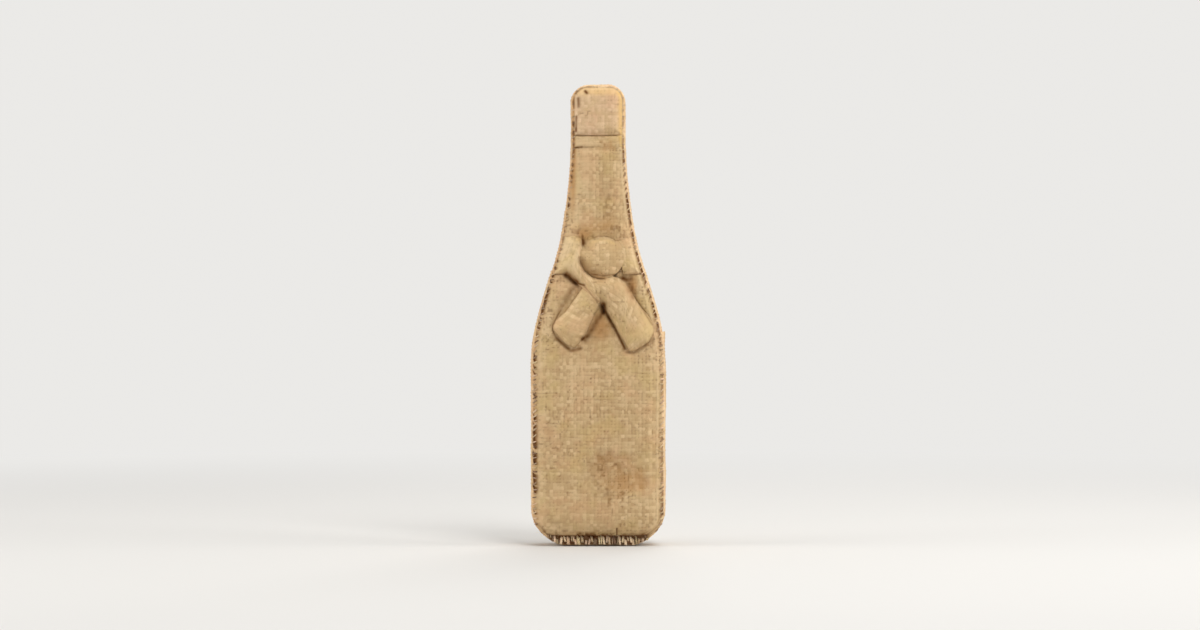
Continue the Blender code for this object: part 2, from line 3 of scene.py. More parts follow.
import bmesh
import bpy
import numpy as np
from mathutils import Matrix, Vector


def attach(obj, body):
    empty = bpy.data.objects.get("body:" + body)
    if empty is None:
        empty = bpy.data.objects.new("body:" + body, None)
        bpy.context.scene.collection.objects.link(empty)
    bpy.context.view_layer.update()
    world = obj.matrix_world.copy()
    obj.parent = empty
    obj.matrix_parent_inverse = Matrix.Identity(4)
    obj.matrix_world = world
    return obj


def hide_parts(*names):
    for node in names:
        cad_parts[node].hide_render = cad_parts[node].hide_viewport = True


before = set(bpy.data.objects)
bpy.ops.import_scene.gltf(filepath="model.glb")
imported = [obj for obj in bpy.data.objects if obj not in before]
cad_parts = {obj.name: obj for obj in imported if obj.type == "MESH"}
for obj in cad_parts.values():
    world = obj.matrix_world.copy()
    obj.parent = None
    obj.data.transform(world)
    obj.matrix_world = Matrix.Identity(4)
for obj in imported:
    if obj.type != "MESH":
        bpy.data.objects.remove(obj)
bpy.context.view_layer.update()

# Sizes of the body in metres, the same as the solids have
HEIGHT = 0.300
BODY_HALF_WIDTH = 0.044
NECK_HALF_WIDTH = 0.0179
SHOULDER_LENGTH = 0.142
NECK_LENGTH = 0.040
SEAM_HALF_DEPTH = 0.014
PANEL_RISE = 0.004
PANEL_ROLL = 0.014
FOOT_RUN = 0.022
FOOT_RISE = 0.022
FOOT_POWER = 1.7
TOP_RADIUS = 0.012
SIDE_BULGE = 0.0027
NECK_BULGE = 0.0019
TOP_BULGE = 0.0025
BASE_BULGE = 0.0068
SEAM_FOOT_POWER = 3.0
SEAM_TOP_RADIUS = 0.009
CLOTH = 0.0012
GAP = 0.0003
COVER = 0.001
LAP_DROP = 0.1614
LAP_FLARE = 0.0018
LAP_RUN = 0.012
CAPSULE_LENGTH = 0.034
CAPSULE_RISE = 0.0016
CAPSULE_ROLL = 0.005
CREASE = 0.0008
BAND_LENGTH = 0.007
BAND_RISE = 0.0006
BAND_ROLL = 0.002
SEAL_X = 0.0024
SEAL_DROP = 0.1127
SEAL_RADIUS = 0.0137
SEAL_ROLL = 0.0120
RIBBON_ROLL = 0.0090
TUCK = 0.0014
SEAM_MARGIN = 0.0006
BOW_SPAN = 0.035
BOW_DROP = 0.062

SHOULDER_END = HEIGHT - NECK_LENGTH
SHOULDER_START = SHOULDER_END - SHOULDER_LENGTH
LAP_HEIGHT = HEIGHT - LAP_DROP
SEAL_Z = HEIGHT - SEAL_DROP
CAPSULE_BOTTOM = HEIGHT - CAPSULE_LENGTH
BAND_TOP = CAPSULE_BOTTOM - CREASE
BAND_BOTTOM = BAND_TOP - BAND_LENGTH

SHOULDER_SHARES = (
    (0.0, 1.0), (0.075, 0.975), (0.145, 0.92), (0.22, 0.832), (0.3, 0.71), (0.38, 0.573), (0.46, 0.425),
    (0.54, 0.298), (0.62, 0.217), (0.7, 0.145), (0.8, 0.08), (0.9, 0.031), (1.0, 0.0),
)
OVER_LOWER_SHARES = (
    (-0.666, -0.181), (-0.44, -0.29), (-0.211, -0.402), (0.014, -0.513), (0.143, -0.634),
    (0.274, -0.756), (0.403, -0.879), (0.483, -0.956), (0.529, -0.99), (0.62, -0.975),
)
OVER_ARC_DEGREES = (172.0, 210.0, 250.0, 290.0)
OVER_UPPER_SHARES = ((0.386, -0.247), (0.66, -0.477), (0.934, -0.711), (0.94, -0.806), (0.86, -0.89))
UNDER_LEFT_SHARES = ((-0.386, -0.337), (-0.64, -0.547), (-0.897, -0.758), (-0.777, -0.839), (-0.654, -0.915))
UNDER_RIGHT_SHARES = ((-0.04, -0.506), (-0.197, -0.677), (-0.351, -0.848), (-0.429, -0.905), (-0.506, -0.953))
COLLAR_TOP_SHARE = 0.21
COLLAR_FOOT_SHARE = -0.175
COLLAR_INNER_SHARE = (0.40, -0.20)
COLLAR_ARC_DEGREES = (-18.0, 6.0, 30.0, 50.0)
UNDER_RIBBON = np.array((0.0016, 0.0021))

# The weave: threads a pitch apart, that rise and fall by half a crimp
PITCH = 0.0022
WEAVE_RISE = 0.00048
WEAVE_MIDDLE = 0.75
THREADS = 512
THREAD_WIDTH = 0.92
WIDTH_SPREAD = 0.14
CRIMP = 0.34
ROUND = 0.52
HOLE = -0.9
# How the threads wander, as heights in pitches, sizes and seeds
WARP_DRIFT = ((0.22, 0.011, 1), (0.5, 0.06, 2))
WEFT_DRIFT = ((0.22, 0.010, 3), (0.5, 0.05, 4))
# Thick and thin lengths, and how far apart neighbours lie in the noise
SLUB = 0.2
SLUB_SIZE = 0.009
SLUB_APART = 0.37
# Light and dark threads, crossings, knots and streaks
THREAD_TONE = 0.28
CROSSING_TONE = 0.48
KNOT_TONE = 1.4
KNOT_RARITY = 20
STREAK_TONE = 0.75
STREAK_THREADS = 8.0
STREAK_APART = 1.14
PALE_STREAK = (0.25, 0.75)
DARK_STREAK = (0.35, 0.80)
TONE_OFFSET = 0.20
# Pits at the crossings and splits between the threads
PIT_RARITY = 6.5
PIT_REACH = 0.30
PIT_DEPTH = 0.45
PITTED_SIZE = 0.016
PITTED_SPAN = (-0.3, 0.7)
LEAST_PITS = 0.35
SPLIT_REACH = 0.16
SPLIT_THREADS = 2.6
SPLIT_APART = 7.3
SPLIT_SPAN = (0.45, 0.85)
SPLIT_DEPTH = 0.55

# How finely each surface is laid out
PANEL_GRID = 0.00044
BACK_GRID = 0.00052
STRIP_GRID = 0.0005
GUSSET_CUT = 0.0305
GUSSET_SPREAD = 1.3
PAD_GRID = 0.00034

MM = 0.001
TINY = 1e-12
HALF_TURN = math.pi
# How many cells the noise's table has each way, how many draws the weave's, and points measured at a time
NOISE_CELLS = 128
DRAWS = 256
CHUNK = 6000


def smoothed(share):
    """A share from 0 to 1 with a gentle start and end."""
    return share * share * (3 - 2 * share)


def noise(x, y, size, seed):
    """Smooth lumps from -1 to 1 over a plane, about one to each size across."""
    table = np.random.default_rng(seed).uniform(-1, 1, (NOISE_CELLS, NOISE_CELLS))
    u = np.asarray(x) / size
    v = np.asarray(y) / size
    i = np.floor(u).astype(int)
    j = np.floor(v).astype(int)
    s = smoothed(u - i)
    t = smoothed(v - j)

    def row(up):
        left, right = (table[(i + over) % NOISE_CELLS, (j + up) % NOISE_CELLS] for over in (0, 1))
        return left * (1 - s) + right * s

    return row(0) * (1 - t) + row(1) * t


def lumps(x, y, layers, seed=0):
    """Noises added up, each given by its height, its size and what its seed adds."""
    return sum(height * noise(x, y, size, seed + own) for height, size, own in layers)


def ramp(value, low, high):
    """0 below low, 1 above high and a smooth rise between."""
    return smoothed(np.clip((np.asarray(value) - low) / (high - low), 0.0, 1.0))


def span(value, low, full, waning, high):
    """0 below low and above high, 1 from full to waning, and smooth between."""
    return ramp(value, low, full) * (1 - ramp(value, waning, high))


def near(distance, width):
    """1 at no distance, dying away over a width."""
    return np.exp(-(np.asarray(distance) / width) ** 2)


def most(*layers):
    """The largest of some layers at each place."""
    return np.maximum.reduce(np.broadcast_arrays(*layers))


def dome(distance, rise, roll):
    """A rise from an edge, round over its roll and level beyond."""
    share = np.clip(np.asarray(distance) / roll, 0.0, 1.0)
    return rise * np.sqrt(1 - (1 - share) ** 2)


# Outlines

# How many places each stretch of the half outline has
CORNER_STEPS = 90
SHOULDER_STEPS = 160
CROWN_STEPS = 30


def eased(places, values, fine):
    """A smooth curve through values given at places."""
    slopes = np.gradient(values, places, axis=0)
    index = np.clip(np.searchsorted(places, fine, side="right") - 1, 0, len(places) - 2)
    run = places[index + 1] - places[index]
    t = (fine - places[index]) / run
    if np.ndim(values) > 1:
        run = run[:, None]
        t = t[:, None]
    one = values[index] * (2 * t ** 3 - 3 * t ** 2 + 1) + values[index + 1] * (3 * t ** 2 - 2 * t ** 3)
    return one + run * (slopes[index] * (t ** 3 - 2 * t ** 2 + t) + slopes[index + 1] * (t ** 3 - t ** 2))


def arc_lengths(path):
    runs = np.linalg.norm(np.diff(path, axis=0), axis=1)
    return np.concatenate([[0.0], np.cumsum(runs)])


def spaced(path, spacing, along=None):
    """The path again with its points evenly spaced, measured on itself or on another like it."""
    lengths = arc_lengths(path if along is None else along)
    count = max(int(round(lengths[-1] / spacing)), 2)
    fine = np.linspace(0.0, lengths[-1], count + 1)
    return np.column_stack([np.interp(fine, lengths, column) for column in path.T])


def crown(half, top, radius, steps):
    """The rounded corner at the top right, from the side to the flat top."""
    angle = np.linspace(0.0, HALF_TURN / 2, steps)
    return np.column_stack([half - radius * (1 - np.cos(angle)), top - radius * (1 - np.sin(angle))])


def half_outline(half_body, half_neck, foot, top, foot_power, foot_run, foot_rise, top_radius):
    """The right half, from the end of the flat base up to the end of the flat top."""
    angle = np.linspace(0.0, HALF_TURN / 2, CORNER_STEPS)
    across = np.sin(angle) ** (2 / foot_power)
    down = np.clip(np.cos(angle), 0.0, 1.0) ** (2 / foot_power)
    corner = np.column_stack([half_body - foot_run * (1 - across), foot + foot_rise * (1 - down)])
    shares = np.array(SHOULDER_SHARES)
    fine = np.linspace(0.0, 1.0, SHOULDER_STEPS)
    width = eased(shares[:, 0], shares[:, 1], fine)
    shoulder = np.column_stack([
        half_neck + (half_body - half_neck) * width,
        SHOULDER_START + SHOULDER_LENGTH * fine,
    ])
    return np.vstack([corner, shoulder, crown(half_neck, top, top_radius, CROWN_STEPS)])


def silhouette(inset=0.0):
    return half_outline(
        BODY_HALF_WIDTH - inset, NECK_HALF_WIDTH - inset, inset, HEIGHT - inset,
        FOOT_POWER, FOOT_RUN, FOOT_RISE, TOP_RADIUS,
    )


def seam(inset=0.0):
    return half_outline(
        BODY_HALF_WIDTH - SIDE_BULGE - inset, NECK_HALF_WIDTH - NECK_BULGE - inset,
        BASE_BULGE + inset, HEIGHT - TOP_BULGE - inset,
        SEAM_FOOT_POWER, FOOT_RUN - SIDE_BULGE, FOOT_RISE - BASE_BULGE, SEAM_TOP_RADIUS,
    )


def whole(half, spacing):
    """The closed outline, anticlockwise seen from the front."""
    right = spaced(half, spacing)
    base = np.linspace(-right[0], right[0], max(int(2 * right[0, 0] / spacing), 2))[1:-1]
    base[:, 1] = right[0, 1]
    return np.vstack([right, right[::-1] * (-1.0, 1.0), base])


def signed_distance(points, outline):
    """How far each point lies inside a closed outline, its nearest place there, and how far round."""
    run = np.roll(outline, -1, axis=0) - outline
    lengths = np.maximum(np.linalg.norm(run, axis=1), TINY)
    rounds = np.concatenate([[0.0], np.cumsum(lengths)[:-1]])
    signed = []
    nearest = []
    stations = []
    for part in np.array_split(points, max(len(points) // CHUNK, 1)):
        offset = part[:, None, :] - outline[None, :, :]
        along = np.clip((offset * run).sum(axis=2) / lengths ** 2, 0.0, 1.0)
        short = ((offset - along[:, :, None] * run) ** 2).sum(axis=2)
        best = short.argmin(axis=1)
        rows = np.arange(len(part))
        share = along[rows, best]
        height = part[:, 1:]
        rises = (outline[:, 1] > height) != ((outline + run)[:, 1] > height)
        slope = np.where(np.abs(run[:, 1]) > TINY, run[:, 1], 1.0)
        crossing = outline[:, 0] + (height - outline[:, 1]) * run[:, 0] / slope
        inside = (rises & (part[:, :1] < crossing)).sum(axis=1) % 2 == 1
        signed.append(np.sqrt(short[rows, best]) * np.where(inside, 1.0, -1.0))
        nearest.append(outline[best] + share[:, None] * run[best])
        stations.append(rounds[best] + share * lengths[best])
    return np.concatenate(signed), np.vstack(nearest), np.concatenate(stations)


def inward(points, outline):
    """How far each point lies inside a closed outline, and 0 outside it."""
    return np.maximum(signed_distance(points, outline)[0], 0.0)


# The weave

def drawn(i, j, seed):
    """A steady draw from 0 to 1 for each pair of whole numbers."""
    table = np.random.default_rng(seed).uniform(0, 1, (DRAWS, DRAWS))
    return table[i % DRAWS, j % DRAWS]


def thread_height(place, number, crossed, widths, slub, side=1):
    """How high the threads of one direction lie, by their number and by what they cross on the way."""
    width = widths[number % THREADS] * (1 + SLUB * slub)
    bow = 1 - (2 * (place - number - 0.5) / width) ** 2
    wave = side * np.cos(HALF_TURN * (crossed - 0.5)) * np.where(number % 2 == 0, 1, -1)
    return np.where(bow > 0, CRIMP * wave + ROUND * np.sqrt(np.maximum(bow, 0.0)), HOLE)


def woven(across, along, seed):
    """Lift, which thread is on top, its tone and how open the gaps are, at places on plain-woven cloth."""
    random = np.random.default_rng(seed)
    tones = random.uniform(-1, 1, (2, THREADS))
    widths = THREAD_WIDTH + WIDTH_SPREAD * random.uniform(-1, 1, (2, THREADS))
    a = across / PITCH + lumps(across, along, WARP_DRIFT, seed)
    b = along / PITCH + lumps(across, along, WEFT_DRIFT, seed)
    i = np.floor(a).astype(int)
    j = np.floor(b).astype(int)
    warp = thread_height(a, i, b, widths[0], noise(i * SLUB_APART, along, SLUB_SIZE, seed + 5))
    weft = thread_height(b, j, a, widths[1], noise(across, j * SLUB_APART, SLUB_SIZE, seed + 6), -1)
    over = (warp > weft).astype(float)
    tone = THREAD_TONE * np.where(warp > weft, tones[0, i % THREADS], tones[1, j % THREADS])
    tone += CROSSING_TONE * (2 * drawn(i, j, seed + 7) - 1)
    lift = (np.maximum(warp, weft) - HOLE) / (CRIMP + ROUND - HOLE)
    near_i = np.rint(a).astype(int)
    near_j = np.rint(b).astype(int)
    pit = drawn(near_i, near_j, seed + 8) ** PIT_RARITY * near(np.hypot(a - near_i, b - near_j), PIT_REACH)
    warp_split = ramp(noise(near_i * SPLIT_APART, b, SPLIT_THREADS, seed + 9), *SPLIT_SPAN)
    weft_split = ramp(noise(a, near_j * SPLIT_APART, SPLIT_THREADS, seed + 10), *SPLIT_SPAN)
    split = most(near(a - near_i, SPLIT_REACH) * warp_split, near(b - near_j, SPLIT_REACH) * weft_split)
    patchy = LEAST_PITS + (1 - LEAST_PITS) * ramp(noise(across, along, PITTED_SIZE, seed + 11), *PITTED_SPAN)
    pit = np.clip(pit + SPLIT_DEPTH * split, 0.0, 1.0) * patchy
    tone += KNOT_TONE * drawn(i, j, seed + 12) ** KNOT_RARITY
    warp_streak = noise(i * STREAK_APART * STREAK_THREADS, b, STREAK_THREADS, seed + 13)
    weft_streak = noise(a, j * STREAK_APART * STREAK_THREADS, STREAK_THREADS, seed + 14)
    streak = np.where(over > 0, warp_streak, weft_streak)
    tone += STREAK_TONE * (ramp(streak, *PALE_STREAK) - 0.5 * ramp(-streak, *DARK_STREAK)) - TONE_OFFSET
    return lift * (1 - PIT_DEPTH * pit), over, tone, pit


def weave_rise(lift, inside, reach):
    """How far the weave stands out, dying away at the cloth's edge."""
    return WEAVE_RISE * (lift - WEAVE_MIDDLE) * ramp(inside, 0.0, reach)


# Meshes

def linked(name, data):
    """A new object in the scene."""
    made = bpy.data.objects.new(name, data)
    bpy.context.scene.collection.objects.link(made)
    return made


class Fabric:
    """Gathers corners, faces and what the finish needs at each corner, and makes one piece of them."""

    def __init__(self):
        self.corners = []
        self.faces = []
        self.fields = {}
        self.count = 0

    def add(self, corners, faces, **fields):
        corners = np.asarray(corners, float)
        self.corners.append(corners)
        self.faces += [tuple(int(corner) + self.count for corner in face) for face in faces]
        for name, values in fields.items():
            self.fields.setdefault(name, []).append(np.broadcast_to(values, len(corners)).astype(np.float32))
        self.count += len(corners)

    def piece(self, name, material):
        corners = np.vstack(self.corners)
        mesh = bpy.data.meshes.new(name)
        mesh.from_pydata(corners.tolist(), [], self.faces)
        for field, values in self.fields.items():
            mesh.attributes.new(field, "FLOAT", "POINT").data.foreach_set("value", np.concatenate(values))
        mesh.materials.append(material)
        mesh.shade_smooth()
        return linked(name, mesh)


def clipped_grid(outline, spacing):
    """A square grid of places cut to an outline, with its rim drawn onto the outline, and its faces."""
    low = np.floor(outline.min(axis=0) / spacing) - 1
    high = np.ceil(outline.max(axis=0) / spacing) + 2
    columns = np.arange(low[0], high[0]) * spacing
    rows = np.arange(low[1], high[1]) * spacing
    x, z = np.meshgrid(columns, rows)
    places = np.column_stack([x.ravel(), z.ravel()])
    signed, nearest, _ = signed_distance(places, outline)
    kept = (signed > -spacing / 2).reshape(x.shape)
    cell = kept[:-1, :-1] & kept[1:, :-1] & kept[:-1, 1:] & kept[1:, 1:]
    touching = np.zeros(x.shape, int)
    for down in (0, 1):
        for over in (0, 1):
            touching[down: down + cell.shape[0], over: over + cell.shape[1]] += cell
    used = touching.ravel() > 0
    rim = used & (touching.ravel() < 4)
    places[rim] = nearest[rim]
    renumbered = np.cumsum(used) - 1
    row, column = np.nonzero(cell)
    width = x.shape[1]
    corner = row * width + column
    faces = np.column_stack([corner, corner + 1, corner + 1 + width, corner + width])
    return places[used], renumbered[faces]


def open_edges(faces):
    """The directed edges that only one face has."""
    edges = np.vstack([faces[:, [one, (one + 1) % 4]] for one in range(4)])
    size = faces.max() + 1
    codes = edges[:, 0] * size + edges[:, 1]
    reverse = edges[:, 1] * size + edges[:, 0]
    return edges[~np.isin(codes, reverse)]


def hemmed(name, material, corners, faces, depth, hem_shade, **fields):
    """A piece of cloth whose open edge is turned in by a depth along y, and how dark the painted shade on the
    hem is.
    """
    edges = open_edges(faces)
    rim = np.unique(edges)
    place = {int(corner): index + len(corners) for index, corner in enumerate(rim)}
    fabric = Fabric()
    fabric.add(corners, faces, **fields)
    fabric.faces += [(int(b), int(a), place[int(a)], place[int(b)]) for a, b in edges]
    under = {field: np.broadcast_to(values, len(corners))[rim] for field, values in fields.items()}
    fabric.add(corners[rim] + (0.0, depth, 0.0), [], **{**under, "soil": hem_shade, "warm": 0.0})
    return fabric.piece(name, material)


def facing(corners, columns):
    """Each corner's outward direction on a grid of rows and columns."""
    grid = corners.reshape(-1, columns, 3)
    across = np.gradient(grid, axis=1)
    along = np.gradient(grid, axis=0)
    out = np.cross(across, along).reshape(-1, 3)
    return out / np.maximum(np.linalg.norm(out, axis=1), TINY)[:, None]


def grid_faces(rows, columns):
    row, column = np.meshgrid(np.arange(rows - 1), np.arange(columns - 1), indexing="ij")
    corner = (row * columns + column).ravel()
    return np.column_stack([corner, corner + 1, corner + 1 + columns, corner + columns])


def directions(path):
    """The direction of a path at each of its points."""
    tangents = np.gradient(path, axis=0)
    return tangents / np.linalg.norm(tangents, axis=1)[:, None]


# A slanting direction, from which a yarn's sideways ones are found
ODD_WAY = (0.31, 0.87, 0.39)


def tube(path, radii, sides):
    """A round tube along a path, closed at both ends."""
    path = np.asarray(path, float)
    tangents = directions(path)
    side = np.cross(tangents[0], ODD_WAY)
    rings = []
    angles = np.linspace(0.0, 2 * HALF_TURN, sides, endpoint=False)
    for place, tangent, radius in zip(path, tangents, radii):
        side = side - tangent * (side @ tangent)
        side /= np.linalg.norm(side)
        up = np.cross(tangent, side)
        rings.append(place + radius * (np.cos(angles)[:, None] * side + np.sin(angles)[:, None] * up))
    faces = []
    last = (len(path) - 1) * sides
    for first in range(0, last, sides):
        for one in range(sides):
            two = (one + 1) % sides
            faces.append((first + one, first + two, first + sides + two, first + sides + one))
    faces.append(tuple(range(sides))[::-1])
    faces.append(tuple(range(last, last + sides)))
    return np.vstack(rings), faces


# A ply's sides, its radius and distance from the yarn's middle in the yarn's radii, and how its ends taper
PLY_SIDES = 7
PLY_RADIUS = 0.58
PLY_APART = 0.5
PLY_TAPER = 0.08
PLY_END = 0.35
PLY_TONE = 0.12


def plied(fabric, path, radius, turns, tone, soil, cast):
    """Two plies twisted round each other along a path."""
    tangents = directions(path)
    side = np.cross(tangents, ODD_WAY)
    side /= np.linalg.norm(side, axis=1)[:, None]
    up = np.cross(tangents, side)
    share = np.linspace(0.0, 1.0, len(path))
    full = np.clip(np.minimum(share, 1 - share) / PLY_TAPER, PLY_END, 1.0)
    for ply in range(2):
        angle = HALF_TURN * (2 * turns * share + ply)
        centre = path + radius * PLY_APART * (np.cos(angle)[:, None] * side + np.sin(angle)[:, None] * up)
        corners, faces = tube(centre, radius * PLY_RADIUS * full, PLY_SIDES)
        fabric.add(corners, faces, lift=np.repeat(full, PLY_SIDES), tone=tone + PLY_TONE * (ply - 0.5),
                   soil=soil, cast=cast, u=np.repeat(share * turns, PLY_SIDES),
                   v=np.tile(np.arange(PLY_SIDES) / PLY_SIDES, len(path)))


# Finishes

class Wire:
    """A node's output, which takes part in sums as a number does."""

    def __init__(self, board, socket):
        self.board = board
        self.socket = socket

    def maths(self, operation, first, second):
        return self.board.node("ShaderNodeMath", {"operation": operation}, {0: first, 1: second})

    def __add__(self, other):
        return self.maths("ADD", self, other)

    def __sub__(self, other):
        return self.maths("SUBTRACT", self, other)

    def __rsub__(self, other):
        return self.maths("SUBTRACT", other, self)

    def __mul__(self, other):
        return self.maths("MULTIPLY", self, other)

    __radd__ = __add__
    __rmul__ = __mul__


class Board:
    """A material and the nodes behind it."""

    def __init__(self, name):
        self.material = bpy.data.materials.new(name)
        self.material.use_nodes = True
        self.nodes = self.material.node_tree.nodes
        self.links = self.material.node_tree.links
        self.shader = self.nodes["Principled BSDF"]

    def feed(self, socket, value):
        if isinstance(value, Wire):
            self.links.new(value.socket, socket)
        else:
            socket.default_value = value

    def node(self, kind, settings, sockets, output=0):
        made = self.nodes.new(kind)
        for setting, value in settings.items():
            setattr(made, setting, value)
        for socket, value in sockets.items():
            self.feed(made.inputs[socket], value)
        return Wire(self, made.outputs[output])

    def field(self, name):
        return self.node("ShaderNodeAttribute", {"attribute_name": name}, {}, "Fac")

    def limited(self, value, low, high):
        return self.node(
            "ShaderNodeMapRange", {"interpolation_type": "SMOOTHSTEP"},
            {0: value, 1: low, 2: high, 3: 0.0, 4: 1.0},
        )

    def colours(self, factor, one, other):
        return self.node("ShaderNodeMix", {"data_type": "RGBA"}, {0: factor, 6: one, 7: other}, 2)

    def speckle(self, place, scale, detail=3.0, rough=0.6):
        sockets = {"Vector": place, "Scale": scale, "Detail": detail, "Roughness": rough}
        return self.node("ShaderNodeTexNoise", {}, sockets)

    def place(self, x, y, z):
        return self.node("ShaderNodeCombineXYZ", {}, {0: x, 1: y, 2: z})

    def object_place(self):
        return self.node("ShaderNodeTexCoord", {}, {}, "Object")

    def bump(self, height, strength, distance):
        sockets = {"Strength": strength, "Distance": distance, "Height": height}
        return self.node("ShaderNodeBump", {}, sockets)

    def finish(self, colour, roughness, normal, more=()):
        sockets = {"Base Color": colour, "Roughness": roughness, "Normal": normal, **dict(more)}
        for socket, value in sockets.items():
            self.feed(self.shader.inputs[socket], value)
        return self.material


def tinted(colour, cast):
    return (*(channel * share for channel, share in zip(colour, cast)), 1.0)


# What each cast does to the straw's channels, the painted shade in the weave's hollows, and the painted shade
# of the deepest folds and seams
ROSY_CAST = (1.08, 0.93, 0.97)
OLIVE_CAST = (0.95, 1.00, 0.78)
STAIN_CAST = (0.83, 0.62, 0.43)
GOLD_CAST = (1.10, 1.04, 0.70)
WEAVE_HOLLOW_SHADE = (0.50, 0.40, 0.29)
DEEPEST_FOLD_SHADE = (0.016, 0.007, 0.002, 1.0)

# How many fibres and patches there are to a metre of cloth
FIBRES_ACROSS = 5200.0
FIBRES_ALONG = 520.0
LIGHT_PATCHES = 75.0
ROSY_PATCHES = 62.0
OLIVE_PATCHES = 48.0


def hessian(name, straw, pale, dark, dirt_and_shade_colour):
    """Jute cloth: fibres along each thread, dark between threads, rosy and olive casts, stains, and dirt with
    painted shade in the weave's hollows, folds and seams.
    """
    board = Board(name)
    lift, over, tone, soil, warm, u, v = map(board.field, ("lift", "over", "tone", "soil", "warm", "u", "v"))

    def patches(count, level, detail, rough):
        return board.speckle(board.place(u * count, v * count, level), 1.0, detail, rough)

    warp_fibre = board.speckle(board.place(u * FIBRES_ACROSS, v * FIBRES_ALONG, 0.3), 1.0)
    weft_fibre = board.speckle(board.place(u * FIBRES_ALONG, v * FIBRES_ACROSS, 7.1), 1.0)
    fibre = warp_fibre * over + weft_fibre * (1 - over)
    light = 0.5 + 0.3 * tone + 0.85 * (fibre - 0.5) + 0.5 * (patches(LIGHT_PATCHES, 2.0, 4.0, 0.6) - 0.5)
    cloth = board.colours(board.limited(light, 0.0, 1.0), (*dark, 1.0), (*pale, 1.0))
    cloth = board.colours(0.45, cloth, (*straw, 1.0))
    casts = (
        (board.limited(patches(ROSY_PATCHES, 5.0, 3.0, 0.55), 0.46, 0.66) * 0.4, tinted(straw, ROSY_CAST)),
        (board.limited(patches(OLIVE_PATCHES, 11.0, 3.0, 0.55), 0.48, 0.68) * 0.4, tinted(straw, OLIVE_CAST)),
        (board.limited(warm, 0.0, 1.0), tinted(straw, STAIN_CAST)),
        (board.limited(0.0 - warm, 0.0, 1.0), tinted(straw, GOLD_CAST)),
        # Painted shade where the weave lies low
        ((1 - board.limited(lift, 0.10, 0.60)) * 0.4, tinted(dark, WEAVE_HOLLOW_SHADE)),
        # Dirt and painted shade, then the darkest painted shade in the deepest folds and seams
        (soil, (*dirt_and_shade_colour, 1.0)),
        (board.limited(soil, 1.0, 1.6), DEEPEST_FOLD_SHADE),
    )
    for share, colour in casts:
        cloth = board.colours(share, cloth, colour)
    gloss = {
        "Specular IOR Level": 0.18, "Sheen Weight": 0.10, "Sheen Roughness": 0.6, "Sheen Tint": (*pale, 1.0),
    }
    return board.finish(cloth, 0.88 + 0.1 * fibre, board.bump(fibre, 0.5, 0.00022), gloss)


def yarn(name, straw, dark, dirt_and_shade_colour):
    """Plied jute: strands along each ply, fluff, and rosy or olive stitches."""
    board = Board(name)
    tone, soil, cast, u, v = map(board.field, ("tone", "soil", "cast", "u", "v"))
    strands = board.speckle(board.place(u * 3.0, v * 14.0, 1.0), 1.0)
    fluff = board.speckle(board.object_place(), 2600.0)
    light = 0.5 + 0.5 * tone + 0.7 * (strands - 0.5) + 0.5 * (fluff - 0.5)
    colour = board.colours(board.limited(light, 0.0, 1.0), (*dark, 1.0), (*straw, 1.0))
    colour = board.colours(board.limited(cast, 0.0, 1.0) * 0.5, colour, tinted(straw, ROSY_CAST))
    colour = board.colours(board.limited(0.0 - cast, 0.0, 1.0) * 0.5, colour, tinted(straw, OLIVE_CAST))
    colour = board.colours(soil, colour, (*dirt_and_shade_colour, 1.0))
    normal = board.bump(strands + fluff * 0.5, 0.5, 0.0002)
    gloss = {"Specular IOR Level": 0.2, "Sheen Weight": 0.15}
    return board.finish(colour, 0.85 + 0.1 * fluff, normal, gloss)


def plain(name, colour, grain, size, roughness):
    """A quiet finish for what lies inside: a colour with a fine grain of its own."""
    board = Board(name)
    spots = board.speckle(board.object_place(), 1.0 / size, 4.0)
    darker = tuple(channel * (1 - grain) for channel in colour)
    shade = board.colours(board.limited(spots, 0.3, 0.7), (*darker, 1.0), (*colour, 1.0))
    return board.finish(shade, roughness - 0.06 + 0.12 * spots, board.bump(spots, 0.35, size / 4))


# Colours, as light reflected: straw, pale, dark, and the colour of dirt and painted shade in folds, seams and
# gaps
HESSIAN_COLOURS = {
    "body": ((0.55, 0.382, 0.197), (0.73, 0.552, 0.332), (0.38, 0.24, 0.11), (0.150, 0.060, 0.014)),
    "edge": ((0.70, 0.468, 0.247), (0.955, 0.738, 0.482), (0.42, 0.25, 0.11), (0.105, 0.033, 0.006)),
    "capsule": ((0.645, 0.445, 0.265), (0.80, 0.60, 0.39), (0.46, 0.29, 0.15), (0.16, 0.065, 0.018)),
    "ribbon": ((0.62, 0.44, 0.232), (0.79, 0.60, 0.365), (0.43, 0.275, 0.13), (0.15, 0.058, 0.013)),
}
HESSIAN = {name: hessian(name + " hessian", *colours) for name, colours in HESSIAN_COLOURS.items()}
STITCH_YARN = yarn("stitching yarn", (0.90, 0.71, 0.485), (0.40, 0.23, 0.095), (0.10, 0.034, 0.007))
FOAM = plain("upholstery foam", (0.84, 0.79, 0.64), 0.12, 0.0012, 0.9)
GREYBOARD = plain("greyboard", (0.40, 0.36, 0.31), 0.2, 0.0006, 0.85)


def placed(piece, slot, *nodes):
    """A piece on the body, in place of the nodes it covers; its material's slot is not used."""
    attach(piece, "root")
    if nodes:
        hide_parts(*nodes)
    return piece


# The pads' outlines

STRIPS = ("ribbon", "left_tail", "right_collar")
COLLAR_TOP = SEAL_Z + COLLAR_TOP_SHARE * BOW_DROP
COLLAR_FOOT = SEAL_Z + COLLAR_FOOT_SHARE * BOW_DROP
